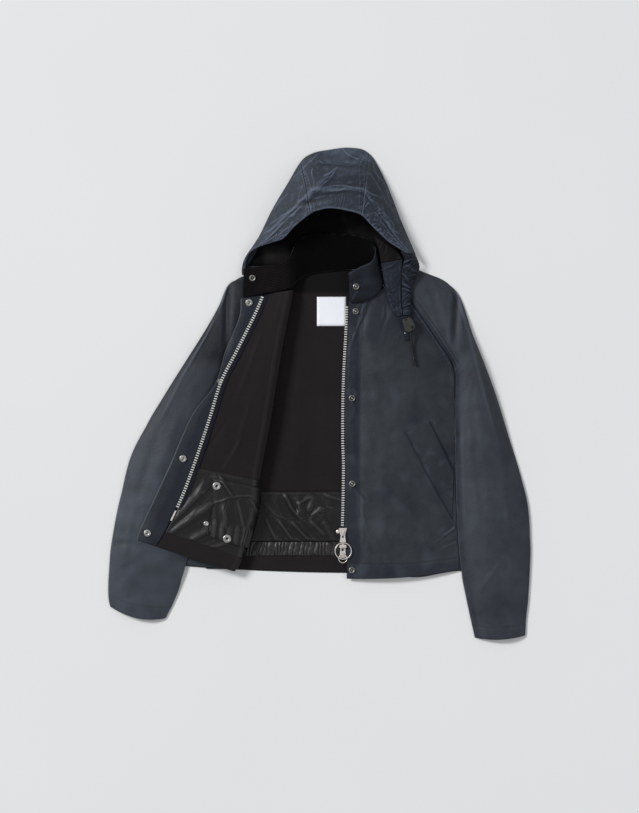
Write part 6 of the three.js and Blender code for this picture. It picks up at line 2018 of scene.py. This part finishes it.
def hoop(name, node, body, material, turns=72, sides=16):
    """A ring of round wire in the place of a node."""
    low, high = (np.array(corner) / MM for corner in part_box(node))
    centre, size = (low + high) / 2 - SHIFT, high - low
    wire = size[2] / 2
    radius = size[0] / 2 - wire
    a, b = np.meshgrid(np.arange(turns) * 2 * math.pi / turns, np.arange(sides) * 2 * math.pi / sides)
    across = radius + wire * np.cos(b)
    verts = points(across * np.cos(a), across * np.sin(a), wire * np.sin(b)) + centre
    i, j = np.meshgrid(np.arange(turns), np.arange(sides))
    at = lambda col, row: (row % sides) * turns + col % turns
    quads = np.stack([at(i, j), at(i + 1, j), at(i + 1, j + 1), at(i, j + 1)], axis=-1).reshape(-1, 4)
    made = mesh_object(name, verts.reshape(-1, 3), quads, material=material)
    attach(made, body)
    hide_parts(node)
    return made


softened("slider_upper", "root", 0.35, STEEL)
softened("slider_lower", "root", 0.35, STEEL)
softened("zip_end_pin", "root", 0.5, STEEL)
softened("pull_plate", "pull_plate", 0.22, STEEL)
hoop("pull_hoop", "pull_ring", "pull_ring", STEEL)
hoop("lower_hoop", "lower_ring", "lower_ring", STEEL)
softened("cord_lock", "root", 0.9, PLASTIC)


# Snap caps, as shares of their radius and height: a rolled ring round a sunk middle, and a stud in it
CAP = [
    (0, 0), (0.94, 0), (1, 0.25), (0.98, 0.6), (0.9, 0.92), (0.8, 1), (0.7, 0.96), (0.63, 0.75),
    (0.6, 0.2), (0, 0.15),
]
SOCKET = [
    (0, 0), (0.94, 0), (1, 0.3), (0.98, 0.7), (0.88, 0.97), (0.72, 1), (0.58, 0.86), (0.5, 0.6),
    (0.47, 0.15), (0, 0.12),
]
WASHER = [
    (0, 0), (0.94, 0), (1, 0.3), (0.97, 0.7), (0.86, 0.97), (0.62, 1), (0.42, 0.8), (0.33, 0.6),
    (0.31, 0.15), (0, 0.12),
]
STUD = [(0, 0), (0.9, 0), (1, 0.4), (0.8, 0.85), (0.4, 1), (0, 1)]
SNAP_KINDS = [
    (CAP, SNAP_METAL, 0.36, 1.0, ["snap_front_1", "snap_front_2", "snap_front_3", "snap_collar_right"]),
    (SOCKET, SNAP_METAL, 0.2, 1.0, ["snap_front_hem", "snap_collar_left"]),
    (WASHER, BRIGHT_SNAP, 0.2, 1.12, ["snap_flap_1", "snap_flap_3", "snap_flap_4"]),
    (WASHER, BRIGHT_SNAP, 0.0, 1.12, ["snap_skirt_1", "snap_skirt_2"]),
]
for profile, metal, stud, share, nodes in SNAP_KINDS:
    for node in nodes:
        place, radius, height = snap_place(node)
        radius = radius * share
        scaled = [(across * radius, up * height) for across, up in profile]
        lathe(node + "_cap", scaled, place, metal, nodes=[node])
        # A flat near-black disc in each snap's sunk middle: painted shadow of its hole.
        hollow = profile[-2][0] * radius - 0.05
        floor_at = np.array(place) + (0, 0, height * 0.22)
        lathe(
            node + "_eye", [(0, 0), (hollow, 0), (hollow, 0.1), (0, 0.1)], floor_at, SHADOW,
            turns=24,
        )
        if stud:
            wide, tall = stud * radius, height * 0.5
            form = [(across * wide, up * tall) for across, up in STUD]
            lathe(node + "_stud", form, floor_at + (0, 0, 0.1), metal, turns=24)


# Small details: a snap half under the teeth, a lobe on the upper slider, flat dark discs of painted shadow in
# the lower slider's hole and in the lock's cord hole and notch, the tab's eyelet, the thin cord's tip
def disc(name, place, radius, thickness, material):
    return lathe(
        name, [(0, 0), (radius, 0), (radius, thickness), (0, thickness)], place, material, turns=24,
    )


SLIDER_LOWER_TOP = 9.2
HIDDEN_SNAP_Y, HIDDEN_SNAP_ASIDE, HIDDEN_SNAP_RADIUS, HIDDEN_SNAP_HEIGHT = 25.8, -2.8, 5.6, 0.9
hidden_row = np.interp(-HIDDEN_SNAP_Y, -opened_aside(0 * rows, rows)[:, 1], rows)
hidden_at = opened_aside(HIDDEN_SNAP_ASIDE, hidden_row)
lathe(
    "snap_flap_2_cap", [(across * HIDDEN_SNAP_RADIUS, up * HIDDEN_SNAP_HEIGHT) for across, up in SOCKET],
    hidden_at + (0, 0, GAP), SNAP_METAL,
)
LOBE = [(0, 0), (4.0, 0), (4.4, 0.6), (4.3, 2.6), (3.6, 3.8), (2.2, 4.3), (0, 4.4)]
lathe("slider_lobe", LOBE, (39.9, -289.6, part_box("slider_upper")[0][2] / MM), STEEL)
# A flat near-black disc: painted shadow in the lower slider's hole.
disc("slider_lower_hole_shadow", (49.4, -327.8, SLIDER_LOWER_TOP), 2.5, 0.25, SHADOW)
tip_z = float(opened_from(-233.1, -280.4)[2]) + 3.4
CORD_TIP = [(0, 0), (1.3, 0), (1.6, 0.6), (1.7, 9), (2.2, 10.5), (2.1, 15), (1.5, 16.5), (0, 16.5)]
lathe(
    "skirt_cord_tip", CORD_TIP, (-233.3, -279.1, tip_z), GLOSS_PLASTIC,
    axis=(0.05, -1, -0.04),
)
lock_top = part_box("cord_lock")[1][2] / MM
# Flat near-black discs: painted shadow in the lock's cord hole and its notch.
disc("lock_cord_hole_shadow", (194.5, 138.4, lock_top - 0.15), 2.9, 0.3, SHADOW)
disc("lock_notch_shadow", (181.9, 153.9, lock_top - 0.15), 2.0, 0.3, SHADOW)
eyelet_at = slanted(TAB, 0)(np.array(0.3), np.array(0.66))
disc("tab_eyelet", eyelet_at + (0, 0, 0.05), 1.7, 0.5, BRIGHT_SNAP)


# Stitches, laid on the cloth that is there
def cloth_tree():
    verts, faces, start = [], [], 0
    for made in DRESSED.values():
        mesh = made.data
        place = np.empty(3 * len(mesh.vertices), np.float32)
        mesh.vertices.foreach_get("co", place)
        corners = np.empty(len(mesh.loops), np.int32)
        mesh.loops.foreach_get("vertex_index", corners)
        verts.append(place.reshape(-1, 3))
        faces.append(corners.reshape(-1, 4) + start)
        start += len(mesh.vertices)
    return BVHTree.FromPolygons(np.concatenate(verts).tolist(), np.concatenate(faces).tolist())


TREE = cloth_tree()
ABOVE = 200.0


def drop(x, y):
    """The topmost cloth at a place in plan, and the way that it faces."""
    spot, facing, _, _ = TREE.ray_cast(Vector(metres((x, y, ABOVE)).tolist()), Vector((0.0, 0.0, -1.0)))
    if spot is None:
        return None
    return np.array(spot) / MM - SHIFT, np.array(facing)


def curved(path, spacing=1.0):
    """A smooth dense line in plan through the points of a path."""
    path = np.array(path, float)
    run = np.concatenate([[0], np.cumsum(np.linalg.norm(np.diff(path, axis=0), axis=1))])
    rows = {"s": run, "x": path[:, 0], "y": path[:, 1]}
    at = np.linspace(0, run[-1], int(run[-1] / spacing) + 2)
    return points(smooth(rows, "s", "x", at), smooth(rows, "s", "y", at), 0)


STITCH = {"pitch": 3.4, "length": 2.6, "width": 0.62, "height": 0.32, "sunk": 0.12}
STITCH_FORM = [
    (-STITCH["length"] / 2, 0, -STITCH["sunk"]), (STITCH["length"] / 2, 0, -STITCH["sunk"]),
    (0, -STITCH["width"] / 2, 0), (0, STITCH["width"] / 2, 0), (0, 0, STITCH["height"]),
    (0, 0, -STITCH["sunk"]),
]
STITCH_FACES = [(0, 2, 4), (2, 1, 4), (1, 3, 4), (3, 0, 4), (2, 0, 5), (1, 2, 5), (3, 1, 5), (0, 3, 5)]


def stitches(name, paths, material, pitch=STITCH["pitch"]):
    origins, ways, facings = [], [], []
    for path in paths:
        spots, along = stepped(curved(path), pitch)
        for (x, y, _), way in zip(spots, along):
            hit = drop(x, y)
            if hit is not None and hit[1][2] > 0.25:
                origins.append(hit[0])
                ways.append(way)
                facings.append(hit[1])
    up = unit(np.array(facings))
    way = np.array(ways)
    way = unit(way - (way * up).sum(1, keepdims=True) * up)
    return placed(
        name, STITCH_FORM, STITCH_FACES, np.array(origins), way, np.cross(up, way), up, material, "root",
    )


RAGLAN_SEWN = aside(RAGLAN, 3.2)
HOOD_SEWN = [aside(path, shift) for path in (HOOD_LEFT_SEAM, HOOD_RIGHT_SEAM) for shift in (-3.4, 3.4)]
FLAP_EDGE = [(-158.8, 188), (-160.9, 164.8), (-174.3, 127.1), (-189.4, 91.4), (-210, 22.1), (-255.4, -37.8),
             (-278.9, -85), (-302.4, -140.1), (-332.6, -204.8), (-370.9, -286.7)]
POCKET_SEWN = [aside(POCKET_MOUTH, 2.4), aside(POCKET_OUTER, -2.4)]
stitches("sleeve_and_front_stitching", [
    FRONT_HEM, FLY, RAGLAN_SEWN, RAGLAN_OUTER, RIGHT_CUFF, LEFT_CUFF, *POCKET_SEWN,
], THREAD)
stitches("hood_stitching", HOOD_SEWN, THREAD, 3.0)
stitches("flap_stitching", [FLAP_EDGE], THREAD)
LABEL_SEAM = [(-2.9, 200.6), (54.6, 200.6)]
stitches("label_stitching", [LABEL_SEAM], LIGHT_THREAD, 2.6)


WORLD_STRENGTH = 0.40
KEY_WATTS = 2750.0
FILL_WATTS = 36.0

# Light: a pale room and a wide soft lamp from the upper left
world = bpy.data.worlds.new("studio")
world.use_nodes = True
world.node_tree.nodes["Background"].inputs["Color"].default_value = (0.95, 0.97, 1.0, 1.0)
world.node_tree.nodes["Background"].inputs["Strength"].default_value = WORLD_STRENGTH
bpy.context.scene.world = world


def soft_lamp(name, place, size, watts, aim=(0, 0, 0)):
    data = bpy.data.lights.new(name, "AREA")
    data.shape = "DISK"
    data.size = size * MM
    data.energy = watts
    made = bpy.data.objects.new(name, data)
    made.location = metres(place)
    made.rotation_mode = "QUATERNION"
    made.rotation_quaternion = (metres_vector(aim) - Vector(made.location)).to_track_quat("-Z", "Y")
    bpy.context.scene.collection.objects.link(made)
    return made


def metres_vector(place):
    return Vector(metres(place))


soft_lamp("key_lamp", (-13000, 7700, 11000), 4700, KEY_WATTS)
soft_lamp("fill_lamp", (3500, -1800, 4200), 2600, FILL_WATTS)
bpy.context.scene.view_settings.view_transform = "Standard"
